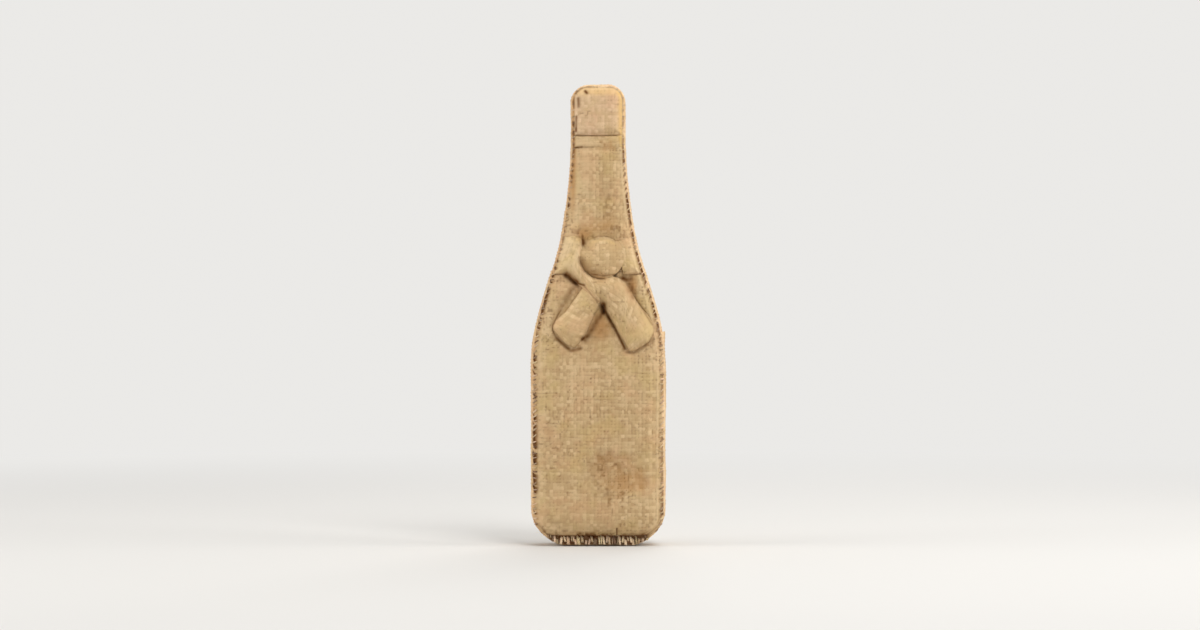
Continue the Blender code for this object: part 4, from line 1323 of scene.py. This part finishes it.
def make_gusset(name, node, inner, outer, side_shares, start_length, seed, lap_end=None):
    """A strip of hessian from the front seam over the edge to the back seam, where lap_end is 0 or -1 for
    the end that shows at the lap."""
    along = arc_lengths(outer)
    columns = int(GUSSET_CUT / STRIP_GRID)
    rows, across = cross_sections(inner, outer, side_shares, SEAM_HALF_DEPTH - GAP / 2, columns)
    corners = rows.reshape(-1, 3)
    x, y, z = corners.T
    v = np.repeat(along + start_length, columns)
    u = across.ravel()
    from_seam = np.minimum(across - across[:, :1], across[:, -1:] - across).ravel()
    lift, over, tone, pit = woven(u, v, seed)
    rise = weave_rise(lift, from_seam, 0.001)
    rise += 0.00028 * noise(u, v, 0.016, seed + 20) * ramp(from_seam, 0.0, 0.004)
    rise += 0.00020 * gathered(v, from_seam, 0.002, 0.0018)
    line, between = painted_seam_shade(x, z, from_seam / GUSSET_SPREAD)
    shadow = 0.16 * near(from_seam, 0.0022) * (0.6 + 0.4 * noise(v, u, 0.005, seed + 23))
    # Painted shade on the front of the base strip, behind the base stitches
    under = 0.94 * (1 - ramp(from_seam, 0.0056, 0.0078)) * ramp(0.0345 - np.abs(x), 0.0, 0.004)
    under *= (y < 0) & (z < 0.0085)
    soil = most(
        line, shadow * np.where(x < 0, 1.2, 0.3), under * (0.94 + 0.06 * noise(x, z, 0.002, seed + 24)),
        0.20 * ramp(0.004 - z, 0.0, 0.003) * (0.6 + 0.4 * noise(x, y, 0.006, seed + 25)),
        specks(u, v, ((1.0, 0.0014, seed + 21),), 0.66, 0.95), PIT_SHADE * pit,
    )
    browned = near(from_seam, 0.0050) * np.where(x < 0, 0.28, 0.18)
    warm = golden(x, z) * near(from_seam * (y < 0) + (y > 0), 0.0030) + browned
    warm += 0.24 * (x < 0) * ramp(noise(v, u, 0.011, seed + 26), -0.5, 0.6)
    tone = tone + 0.75 * near(from_seam - 0.0046, 0.0019) + 0.35 * noise(v, u, 0.02, seed + 22)
    tone += 1.3 * between + 1.2 * browned
    if lap_end is not None:
        from_end = np.abs(v - start_length - along[lap_end])
        rise += 0.0003 * near(from_end - 0.0012, 0.0009)
        # A line of painted shade along the lap's end
        soil = most(soil, 0.5 * near(from_end, 0.0005))
    corners = corners + facing(corners, columns) * rise[:, None]
    corners[:, 2] = np.maximum(corners[:, 2], 0.0)
    fabric = Fabric()
    fabric.add(corners, grid_faces(len(rows), columns),
               lift=lift, over=over, tone=tone, soil=soil, warm=warm, u=u, v=v)
    piece = placed(fabric.piece(name, HESSIAN["edge"]), "edge_hessian", node)


def matched():
    """Seam and silhouette on the right, with a place on one for each on the other, and their side shares."""
    inner = seam()
    outer = silhouette()
    share = np.ones(len(inner))
    share[:CORNER_STEPS] = np.linspace(0.0, 1.0, CORNER_STEPS)
    both = spaced(np.column_stack([inner, outer, share]), STRIP_GRID, along=outer)
    return both[:, :2], both[:, 2:4], both[:, 4]


# The small steps in the left edge: height, how far the cloth below stands out, and how soon that fades
NICKS = ((0.2178, 0.0005, 0.010), (0.1790, 0.0005, 0.009), (0.0655, 0.0004, 0.006))
# The lap on the right: how far the covered strip goes on, its slope, and how the upper strip's end turns in
LAP_TUCK = 0.005
LAP_SLOPE = 0.002
LAP_SUNK = 0.0006
LAP_TURN = 0.0004
LAP_TURN_STEPS = 5


def stepped(outline):
    """The outline with its small steps, where the cloth is pulled in by a stitch."""
    moved = outline.copy()
    for height, step, fade in NICKS:
        below = height - outline[:, 1]
        moved[:, 0] -= step * (outline[:, 0] < 0) * (below > 0) * np.exp(-np.maximum(below, 0.0) / fade)
    return moved


def level_line(shares, end):
    """Places at the height of an end, at shares of its distance from the middle."""
    return np.column_stack([shares * end[0], np.full(len(shares), end[1])])


def make_gussets():
    inner, outer, share = matched()
    lap = int(np.argmin(np.abs(outer[:, 1] - LAP_HEIGHT)))
    top = -np.linspace(1.0, -1.0, int(2 * outer[-1, 0] / STRIP_GRID))[1:-1]
    down = slice(None, lap - int(LAP_TUCK / STRIP_GRID), -1)
    long_inner = np.vstack([inner * (-1.0, 1.0), level_line(top, inner[-1]), inner[down]])
    long_outer = np.vstack([outer * (-1.0, 1.0), level_line(top, outer[-1]), outer[down]])
    long_share = np.concatenate([share, np.ones(len(top)), share[down]])
    sunk = np.clip((LAP_HEIGHT + 0.001 - long_outer[:, 1]) / LAP_SLOPE, 0.0, 1.0) * (long_outer[:, 0] > 0)
    long_outer[:, 0] -= LAP_SUNK * sunk
    make_gusset("side_strip", "side_gusset", long_inner, stepped(long_outer), long_share, 0.0, 101, -1)

    flared = outer[: lap + 1].copy()
    below = outer[lap, 1] - flared[:, 1]
    flared[:, 0] += LAP_FLARE * np.clip(1 - below / LAP_RUN, 0.0, 1.0) ** 1.5
    turned = np.linspace(outer[lap] - (LAP_TURN, 0.0), flared[-1], LAP_TURN_STEPS)[:-1]
    short_inner = np.vstack([np.repeat(inner[lap: lap + 1], len(turned), axis=0), inner[lap::-1]])
    short_share = np.concatenate([np.full(len(turned), share[lap]), share[lap::-1]])
    short_outer = np.vstack([turned, flared[::-1]])
    make_gusset("short_strip", "short_gusset", short_inner, short_outer, short_share, 0.4, 131, 0)

    steps = np.linspace(-1.0, 1.0, int(2 * outer[0, 0] / STRIP_GRID))
    make_gusset("base_strip", "base_gusset", level_line(steps, inner[0]), level_line(steps, outer[0]),
                np.zeros(len(steps)), 0.7, 161)


# Pads

# How dark the painted shade is on a pad's turned-in hem and in its weave's holes
PAD_HEM_SHADE = 0.6
PAD_PIT_SHADE = 0.42
PAD_WEAVE = 0.8


def pad_cloth(name, outline, places, faces, height, threads, edge_shade, seed, material, extra):
    """The cloth over a pad: weave, folds, dirt, painted shade at its edge, in its folds and along the seam, a
    painted highlight on the welt, and a hem turned under all round.
    """
    x, z = places.T
    inside = inward(places, outline)
    lift, over, tone, pit = woven(*threads, seed)
    deep, dark = folded(x, z)
    from_seam = signed_distance(places, SEAM_OUTLINE)[0]
    ridge = welt(from_seam, z)
    height = height + 0.00020 * noise(x, z, 0.008, seed + 2) * ramp(inside, 0.0, 0.003)
    height += PAD_WEAVE * weave_rise(lift, inside, 0.001) + 0.0004 * ridge - 0.8 * deep
    line, between = painted_seam_shade(x, z, np.maximum(from_seam, 0.0))
    marked_dirt_and_shade, browning_and_shade, pale = marked(x, z)
    soil = marked_dirt_and_shade + most(
        edge_shade * near(inside, 0.0006), dark, line,
        specks(x, z, ((1.0, 0.0014, seed + 3), (0.3, 0.014, seed + 5)), 0.78, 1.05), PAD_PIT_SHADE * pit,
    )
    lighter, warmer = extra(x, z)
    # The welt's ridge carries a painted highlight
    tone = 1.15 * tone + 1.0 * ridge + 0.25 * noise(x, z, 0.012, seed + 4) + 0.7 * between + lighter + pale
    corners = np.column_stack([x, -height, z])
    one, two, _, four = corners[faces[0]]
    if np.cross(two - one, four - one)[1] > 0:
        faces = faces[:, ::-1]
    return hemmed(name, material, corners, faces, HEM, PAD_HEM_SHADE, lift=lift, over=over, tone=tone,
                  soil=soil, warm=golden(x, z) + browning_and_shade + warmer, u=threads[0], v=threads[1])


def make_strip_pad(name, seed):
    """A padded ribbon piece whose threads run along it."""
    one, other, run = strip_rows(name, PAD_GRID)
    outline = PAD_OUTLINES[name]
    width = np.linalg.norm(other - one, axis=1)
    columns = int(width.max() / PAD_GRID) + 1
    shares = np.linspace(0.0, 1.0, columns)
    places = (one[:, None, :] + (other - one)[:, None, :] * shares[None, :, None]).reshape(-1, 2)
    across = ((shares[None, :] - 0.5) * (0.5 * width[:, None] + 0.5 * width.mean())).ravel()
    along = np.repeat(run, columns)

    def level(points):
        edge = 1 - 0.8 * ramp(points[:, 1], 0.186, 0.196)
        full = panel_level(points) + PAD_LIP * edge + bow_height(points) * beside_seal_crease(points)
        return full - tucked(points, name)

    height = swollen(places, outline, level, slack=0.05, cap=0.0012, fading=0.003)
    # The pad's edge carries painted shade where the bow's edge is sharp
    piece = pad_cloth(name + "_pad", outline, places, grid_faces(len(one), columns), height, (across, along),
                      0.24 * bow_edge(places[:, 1]), seed, HESSIAN["ribbon"], bow_tints)
    placed(piece, "ribbon_hessian", name + "_cover", name + "_wadding")


def bow_tints(x, z):
    """A painted highlight on the left collar, rosier cloth on the right one and at the tails' ends."""
    left_collar = ramp(z, 0.174, 0.180) * (x < -0.008)
    right_collar = ramp(z, 0.172, 0.180) * (x > 0.012)
    tails = 1 - ramp(z, 0.165, 0.180)
    tail_end = ramp(0.146 - z, 0.0, 0.016)
    crossing = spot(x, z, "crossing")
    rough = ramp(noise(x, z, 0.0022, 91), 0.0, 0.8)
    fading = ramp(z, 0.190, 0.1995)
    # The left collar gets a painted highlight
    lighter = 0.8 * left_collar * (1 - fading) + 0.25 * right_collar - 0.25 * tails + 0.15 * tail_end
    lighter -= 0.25 * fading * (x > 0) + 0.2 * crossing
    return lighter, 0.10 * right_collar * (1 + rough) + 0.08 * tail_end + 0.16 * crossing


def seal_tints(x, z):
    """A golden crescent of painted highlight at the seal's upper edge, with a browner rim, and browner cloth
    with painted shade down its left.
    """
    radius = np.hypot(x - SEAL_X, z - SEAL_Z)
    above = ramp(z, 0.1930, 0.1970)
    upper = near(radius - 0.0112, 0.0024) * above
    rim = near(radius - 0.0140, 0.0014) * above
    lower_left_shade = ramp((SEAL_X - x) + (SEAL_Z - z), 0.002, 0.017)
    # Lighter with the painted highlight, darker and browner with the painted shade down the left
    return 0.65 * upper - 0.75 - 0.2 * lower_left_shade, 0.22 * lower_left_shade - 0.40 * upper + 0.3 * rim


def capsule_tints(x, z):
    """A rosier cloth, browned near its foot, paler on the left and golden at the top."""
    foot = near(z - 0.2665, 0.0035)
    top = ramp(z, 0.289, 0.294)
    lighter = 0.5 * ramp(-0.004 - x, 0.0, 0.003) - 0.12 - 0.25 * foot - 0.4 * top
    return lighter, 0.25 * foot * ramp(noise(x, z, 0.003, 92), -0.4, 0.5) - 0.5 * top


def band_tints(x, z):
    """Paler cloth at the left end."""
    return 0.85 + 0.35 * ramp(-x, 0.0, 0.006), 0.0


def make_seal():
    """The round pad over the bow, drawn down at its lower left and merging into the collar elsewhere."""
    outline = ring(SEAL_RADIUS + CREASE - GAP)
    places, faces = clipped_grid(outline, PAD_GRID)

    def level(points):
        within = inward(points, outline)
        crease = seal_crease(points) * (1 - ramp(within, 0.0, 0.006))
        sharp = 0.75 * seal_crease(points)
        carried = bow_height(points)
        lip = PAD_LIP * (0.1 + 1.0 * ramp(carried - shoulder_rise(*points.T), 0.0, 0.001))
        carried = carried * (1 - crease) * (1 - 0.3 * ramp(within, 0.0, 0.006))
        return panel_level(points) + lip + carried + swell(within, SEAL_PUFF, SEAL_ROLL, sharp)

    height = swollen(places, outline, level, slack=0.06, cap=0.0010, fading=0.007, push=SEAL_PUSH)
    # The seal's edge carries painted shade where it is drawn down
    piece = pad_cloth("seal_pad", outline, places, faces, height, places.T, 0.25 * seal_crease(places), 562,
                      HESSIAN["ribbon"], seal_tints)
    placed(piece, "ribbon_hessian", "seal_cover", "seal_wadding")


def make_capsule():
    """The pad over the top of the neck."""
    outline = PAD_OUTLINES["capsule"]
    places, faces = clipped_grid(outline, PAD_GRID)

    def level(points):
        lip = PAD_LIP * (1 - 0.6 * ramp(points[:, 0], -0.006, 0.008))
        puff = swell(inward(points, outline), CAPSULE_RISE + COVER / 2, CAPSULE_ROLL, 0.8)
        return panel_level(points) + lip + puff

    height = swollen(places, outline, level, slack=0.04, cap=0.0008, fading=0.003)
    # Painted shade along the capsule's lower edge
    edge_shade = 0.2 * (places[:, 1] < 0.27)
    piece = pad_cloth("capsule_pad", outline, places, faces, height, places.T, edge_shade, 582,
                      HESSIAN["capsule"], capsule_tints)
    placed(piece, "capsule_hessian", "capsule_cover", "capsule_wadding")


def make_neck_band():
    """The narrow strip of hessian under the capsule."""
    width = float(seam_half_width(BAND_TOP))
    top = BAND_TOP + TUCK
    outline = np.array([(-width, BAND_BOTTOM), (width, BAND_BOTTOM), (width, top), (-width, top)])
    places, faces = clipped_grid(outline, PAD_GRID)
    x, z = places.T
    fading = ramp(x, -0.008, 0.004)
    height = panel_level(places) + PAD_LIP * (1 - 0.75 * fading)
    height += swell(inward(places, outline), BAND_RISE, BAND_ROLL, 0.6)
    height -= 0.0007 * ramp(z, BAND_TOP - 0.0003, BAND_TOP + 0.0007)
    # Painted shade along the band's edge, fading out to the right
    piece = pad_cloth("neck_strip", outline, places, faces, height, places.T, 0.22 * (1 - fading), 301,
                      HESSIAN["body"], band_tints)
    placed(piece, "capsule_hessian", "neck_band")


# The filling

FOAM_SPACING = 0.004
FOAM_STEPS = 25
FOAM_LESS = 0.0016
BOARD_DEPTH = 0.0035


def make_filling():
    """The foam inside, crowned in front and flat against the board."""
    inset = CLOTH + GAP
    edge = spaced(seam(inset), FOAM_SPACING, along=silhouette(inset))
    shares = np.sin(np.linspace(-HALF_TURN / 2, HALF_TURN / 2, FOAM_STEPS))
    front = np.array([[(share * width, height) for share in shares] for width, height in edge]).reshape(-1, 2)
    within = np.maximum(signed_distance(front, SEAM_OUTLINE)[0] - inset - 0.001, 0.0)
    y = -(SEAM_HALF_DEPTH - 2 * GAP + dome(within, PANEL_RISE - FOAM_LESS, PANEL_ROLL))
    corners = np.column_stack([front[:, 0], y, front[:, 1]])
    faces = grid_faces(len(edge), len(shares))
    rear = corners.copy()
    rear[:, 1] = SEAM_HALF_DEPTH - BOARD_DEPTH
    size = len(corners)
    fabric = Fabric()
    fabric.add(corners, faces)
    fabric.add(rear, faces[:, ::-1])
    fabric.faces += [(int(b), int(a), int(a) + size, int(b) + size) for a, b in open_edges(faces)]
    piece = placed(fabric.piece("foam_filling", FOAM), "foam", "foam_core")


# Stitching

# A whip stitch's places, its twist in turns, how it rises over the seam and how deep its ends sink
WHIP_STEPS = 11
WHIP_TURNS = 1.3
WHIP_RISE = 0.0006
WHIP_SUNK = 0.0010
THREAD_CLEAR = 0.0003
# How far apart the seam's places lie for the whip stitches, and how high up the base stitches leave off
WHIP_SPACING = 0.0008
WHIP_FOOT = 0.012


def at_station(path, lengths, station):
    return np.array([np.interp(station, lengths, column) for column in path.T])


def stitched(name, path, depth_sign, seed, *nodes):
    """Whip stitches over the seam that runs along a path with the bottle on its left."""
    random = np.random.default_rng(seed)
    lengths = arc_lengths(path)
    share = np.linspace(0.0, 1.0, WHIP_STEPS)
    fabric = Fabric()
    station = STITCH_PITCH / 2
    while station < lengths[-1]:
        place = at_station(path, lengths, station)
        ahead = at_station(path, lengths, station + 0.0005) - place
        ahead /= max(np.linalg.norm(ahead), TINY)
        outward = np.array((ahead[1], -ahead[0]))
        slant = random.uniform(-0.0003, 0.0013)
        inner_reach = random.uniform(0.0011, 0.0019)
        outer_reach = random.uniform(0.0009, 0.0015)
        start = place - outward * inner_reach - ahead * slant
        end = place + outward * outer_reach + ahead * slant
        level = SEAM_HALF_DEPTH + GAP + CLOTH + THREAD_CLEAR
        if depth_sign < 0:
            level = float(panel_level(start[None, :])[0])
        flat = start + (end - start) * share[:, None]
        bulge = NECK_BULGE + (SIDE_BULGE - NECK_BULGE) * (1 - float(ramp(place[1], 0.12, 0.26)))
        outer_level = SEAM_HALF_DEPTH * math.sqrt(max(1 - (outer_reach / bulge) ** 2, 0.0)) + THREAD_CLEAR
        depth = level + 0.0001 + (outer_level - level) * share ** 1.5
        depth += WHIP_RISE * np.sin(HALF_TURN * share) ** 0.6 - WHIP_SUNK * np.abs(2 * share - 1) ** 6
        line = np.column_stack([flat[:, 0], depth_sign * depth, flat[:, 1]])
        radius = STITCH_RADIUS * random.uniform(0.7, 1.2) * (1 - 0.3 * float(ramp(place[1], 0.125, 0.15)))
        soil = (0.9 if place[0] < 0 else 0.6) * random.uniform(0.0, 1.0) ** 1.3
        plied(fabric, line, radius, WHIP_TURNS, random.uniform(-0.5, 0.45), soil, random.uniform(-0.8, 0.9))
        station += STITCH_PITCH * random.uniform(0.72, 1.32)
    placed(fabric.piece(name, STITCH_YARN), "stitching_yarn", *nodes)


def make_stitching():
    half = spaced(SEAM_HALF, WHIP_SPACING)
    corner = int(np.argmax(half[:, 1] > WHIP_FOOT))
    neck = int(np.argmax(half[:, 1] > HEIGHT - TOP_BULGE - SEAM_TOP_RADIUS))
    left = half[::-1] * (-1.0, 1.0)
    stitched("right_stitching", half[corner:neck], -1.0, 401, "right_stitches")
    stitched("left_stitching", left[-neck:len(left) - corner], -1.0, 402, "left_stitches")
    stitched("top_stitching", np.vstack([half[neck:], left[:-neck]]), -1.0, 403, "top_stitches")
    stitched("back_stitching", np.vstack([half[corner:], left[:len(left) - corner]]), 1.0, 404)


# The base stitches: half the row's length, their places, turns and the gap between them
BASE_HALF = 0.0325
BASE_STEPS = 13
BASE_TURNS = 1.6
BASE_GAP = 0.0004
# Draws above the first start lower, and draws below the second end higher
STARTS_LOW = 0.8
ENDS_HIGH = 0.3


def make_base_stitching():
    """Thick yarn wrapped upright over the base seam, front."""
    random = np.random.default_rng(451)
    inner, outer, _ = matched()
    inner = inner[: int(np.argmax(inner[:, 1] > FOOT_RISE / 2))]
    outer = outer[: len(inner)]
    share = np.linspace(0.0, 1.0, BASE_STEPS)
    fabric = Fabric()
    x = -BASE_HALF
    while x < BASE_HALF:
        slant = random.uniform(-0.0009, 0.0009)
        high = float(np.interp(abs(x), *inner.T)) - random.uniform(0.0, 0.0010)
        low = float(np.interp(abs(x), *outer.T)) + random.uniform(0.0005, 0.0011)
        kind = random.uniform(0.0, 1.0)
        top_z = high - (0.0024 * random.uniform(0.5, 1.0) if kind > STARTS_LOW else 0.0)
        foot_z = low + (0.0026 * random.uniform(0.4, 1.0) if kind < ENDS_HIGH else 0.0)
        drop = (high - top_z - (top_z - foot_z) * share) / max(high - low, TINY)
        out = 0.0008 - 0.0010 * np.clip(drop + 1, 0.0, 1.0) + 0.0006 * np.sin(HALF_TURN * share) ** 0.5
        y = -(SEAM_HALF_DEPTH + out) + 0.0016 * np.abs(2 * share - 1) ** 8
        line = np.column_stack([x + slant * (share - 0.5), y, top_z + (foot_z - top_z) * share])
        clump = 0.5 + 0.5 * float(noise(x, 0.0, 0.0075, 453))
        middle = math.exp(-((x + 0.001) / 0.014) ** 2)
        soil = random.uniform(0.0, 1.0) ** (1.0 + 2.5 * clump + 1.5 * middle)
        radius = random.uniform(0.00034, 0.00078) + 0.00034 * random.uniform(0.0, 1.0) ** 2
        tone = random.uniform(-0.4, 1.2)
        plied(fabric, line, radius, BASE_TURNS, tone, 0.92 * soil, random.uniform(-1.0, 1.0))
        x += radius * random.uniform(1.4, 2.6) + BASE_GAP
    placed(fabric.piece("base_stitching", STITCH_YARN), "stitching_yarn", "base_stitches")


# The loose hairs
FIBRES = 110
FIBRE_STEPS = 7
FIBRE_SIDES = 5
FIBRE_SPACING = 0.001


def make_fibres():
    """Loose jute hairs that have worked out of the seams and the foot."""
    random = np.random.default_rng(471)
    half = spaced(SEAM_HALF, FIBRE_SPACING)
    share = np.linspace(0.0, 1.0, FIBRE_STEPS)
    fabric = Fabric()
    for number in range(FIBRES):
        low = number % 3 == 0
        index = int(random.uniform(0, 30) if low else random.uniform(8, len(half) - 2))
        side = -1.0 if number % 2 else 1.0
        place = half[index] * (side, 1.0)
        if low:
            place[0] = side * random.uniform(0.0, half[index, 0])
        ahead = (half[index + 1] - half[index]) * (side, 1.0)
        angle = math.atan2(ahead[1], ahead[0]) + random.uniform(-0.7, 0.7)
        length = random.uniform(0.002, 0.0052)
        turn = angle + random.uniform(-1.3, 1.3) * share
        run = np.column_stack([np.cos(turn), np.sin(turn)]) * length / len(share)
        flat = place + np.cumsum(run, axis=0)
        rise = 0.0009 * np.sin(HALF_TURN * share) * random.uniform(0.2, 1.0)
        depth = SEAM_HALF_DEPTH + CLOTH + 0.0002 + rise
        line = np.column_stack([flat[:, 0], -depth, np.maximum(flat[:, 1], 0.0004)])
        corners, faces = tube(line, random.uniform(0.00006, 0.00011) * (1 - 0.6 * share), FIBRE_SIDES)
        fabric.add(corners, faces, lift=1.0, tone=random.uniform(-0.2, 0.8), soil=0.0,
                   cast=random.uniform(-1.0, 1.0), u=0.0, v=0.0)
    placed(fabric.piece("loose_fibres", STITCH_YARN), "stitching_yarn")


# The room

BACKDROP = (0.83, 0.82, 0.80)
FLOOR_SHARE = 0.82
FLOOR_RADIUS = 14.0
FLOOR_DROP = 0.0002
SKY_COLOUR = (1.0, 0.985, 0.965, 1.0)
SKY_STRENGTH = 0.31
LAMPS_AIM = Vector((0.0, 0.0, 0.15))
# Each lamp's place, the length of its sides, its power and its colour
LAMPS = {
    "key": ((0.60, -1.00, 1.60), 0.7, 16.0, (1.0, 0.985, 0.96)),
    "fill": ((-1.1, -1.1, 0.6), 1.2, 2.4, (1.0, 0.99, 0.98)),
    "right": ((1.45, -0.30, 0.75), 0.8, 10.5, (1.0, 0.985, 0.96)),
    "left": ((-1.45, -0.30, 0.65), 0.8, 10.0, (1.0, 0.99, 0.97)),
    "top": ((0.1, 0.1, 1.6), 0.8, 4.6, (1.0, 0.99, 0.97)),
    "back": ((0.3, 1.3, 1.1), 1.0, 9.0, (1.0, 0.99, 0.97)),
}


def make_room():
    """A seamless pale floor that takes the shadow and passes into the backdrop."""
    paper = Board("pale floor")
    place = paper.object_place()
    grain = paper.speckle(place, 900.0)
    low = tinted(BACKDROP, (FLOOR_SHARE * 0.99,) * 3)
    high = tinted(BACKDROP, (FLOOR_SHARE * 1.01,) * 3)
    paper.finish(paper.colours(grain, low, high), 0.95, paper.bump(grain, 0.1, 0.0004))
    glow = paper.node("ShaderNodeEmission", {}, {0: (*BACKDROP, 1.0), 1: 1.0})
    away_from = paper.node("ShaderNodeVectorMath", {"operation": "LENGTH"}, {0: place}, "Value")
    seen = paper.node("ShaderNodeLightPath", {}, {}, "Is Camera Ray")
    share = paper.limited(away_from, 0.25, 1.3) * seen
    body = Wire(paper, paper.shader.outputs[0])
    mixed = paper.node("ShaderNodeMixShader", {}, {0: share, 1: body, 2: glow})
    paper.links.new(mixed.socket, paper.nodes["Material Output"].inputs[0])
    mesh = bpy.data.meshes.new("floor")
    shape = bmesh.new()
    bmesh.ops.create_circle(shape, cap_ends=True, segments=96, radius=FLOOR_RADIUS)
    bmesh.ops.translate(shape, verts=list(shape.verts), vec=(0.0, 0.0, -FLOOR_DROP))
    shape.to_mesh(mesh)
    shape.free()
    mesh.materials.append(paper.material)
    linked("floor", mesh)


def make_sky():
    """Soft light all round, which the camera sees as the backdrop."""
    world = bpy.data.worlds.new("studio")
    bpy.context.scene.world = world
    world.use_nodes = True
    nodes = world.node_tree.nodes
    links = world.node_tree.links
    soft = nodes["Background"]
    soft.inputs[0].default_value = SKY_COLOUR
    soft.inputs[1].default_value = SKY_STRENGTH
    seen = nodes.new("ShaderNodeBackground")
    seen.inputs[0].default_value = (*BACKDROP, 1.0)
    path = nodes.new("ShaderNodeLightPath")
    mix = nodes.new("ShaderNodeMixShader")
    links.new(path.outputs["Is Camera Ray"], mix.inputs[0])
    links.new(soft.outputs[0], mix.inputs[1])
    links.new(seen.outputs[0], mix.inputs[2])
    links.new(mix.outputs[0], nodes["World Output"].inputs[0])


def make_lamp(name, place, size, power, colour):
    lamp = bpy.data.lights.new(name, "AREA")
    lamp.shape = "RECTANGLE"
    lamp.size = lamp.size_y = size
    lamp.energy = power
    lamp.color = colour
    shown = linked(name, lamp)
    shown.location = place
    shown.rotation_euler = (LAMPS_AIM - Vector(place)).to_track_quat("-Z", "Y").to_euler()


# The photograph's scale and middle: metres to a pixel at the panel's face, and what lies at its centre
METRES_PER_PIXEL = 0.0006485
PHOTO_WIDTH = 1200
PHOTO_CENTRE_X = 0.0011
PHOTO_CENTRE_Z = 0.1497
LENS = 85.0
SENSOR = 36.0


def make_camera():
    lens = bpy.data.cameras.new("camera")
    lens.lens = LENS
    lens.sensor_width = SENSOR
    camera = linked("camera", lens)
    distance = METRES_PER_PIXEL * PHOTO_WIDTH * LENS / SENSOR
    camera.location = (PHOTO_CENTRE_X, -distance - SEAM_HALF_DEPTH, PHOTO_CENTRE_Z)
    camera.rotation_euler = (HALF_TURN / 2, 0.0, 0.0)
    bpy.context.scene.camera = camera


make_camera()
make_sky()
make_room()
for lamp_name, settings in LAMPS.items():
    make_lamp(lamp_name, *settings)

make_filling()
make_front_panel()
make_back_panel()
make_gussets()
for strip, strip_seed in zip(STRIPS, (501, 521, 541)):
    make_strip_pad(strip, strip_seed)
make_seal()
make_capsule()
make_neck_band()
make_stitching()
make_base_stitching()
make_fibres()
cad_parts["backing_board"].data.materials.clear()
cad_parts["backing_board"].data.materials.append(GREYBOARD)

bpy.context.scene.view_settings.view_transform = "Standard"
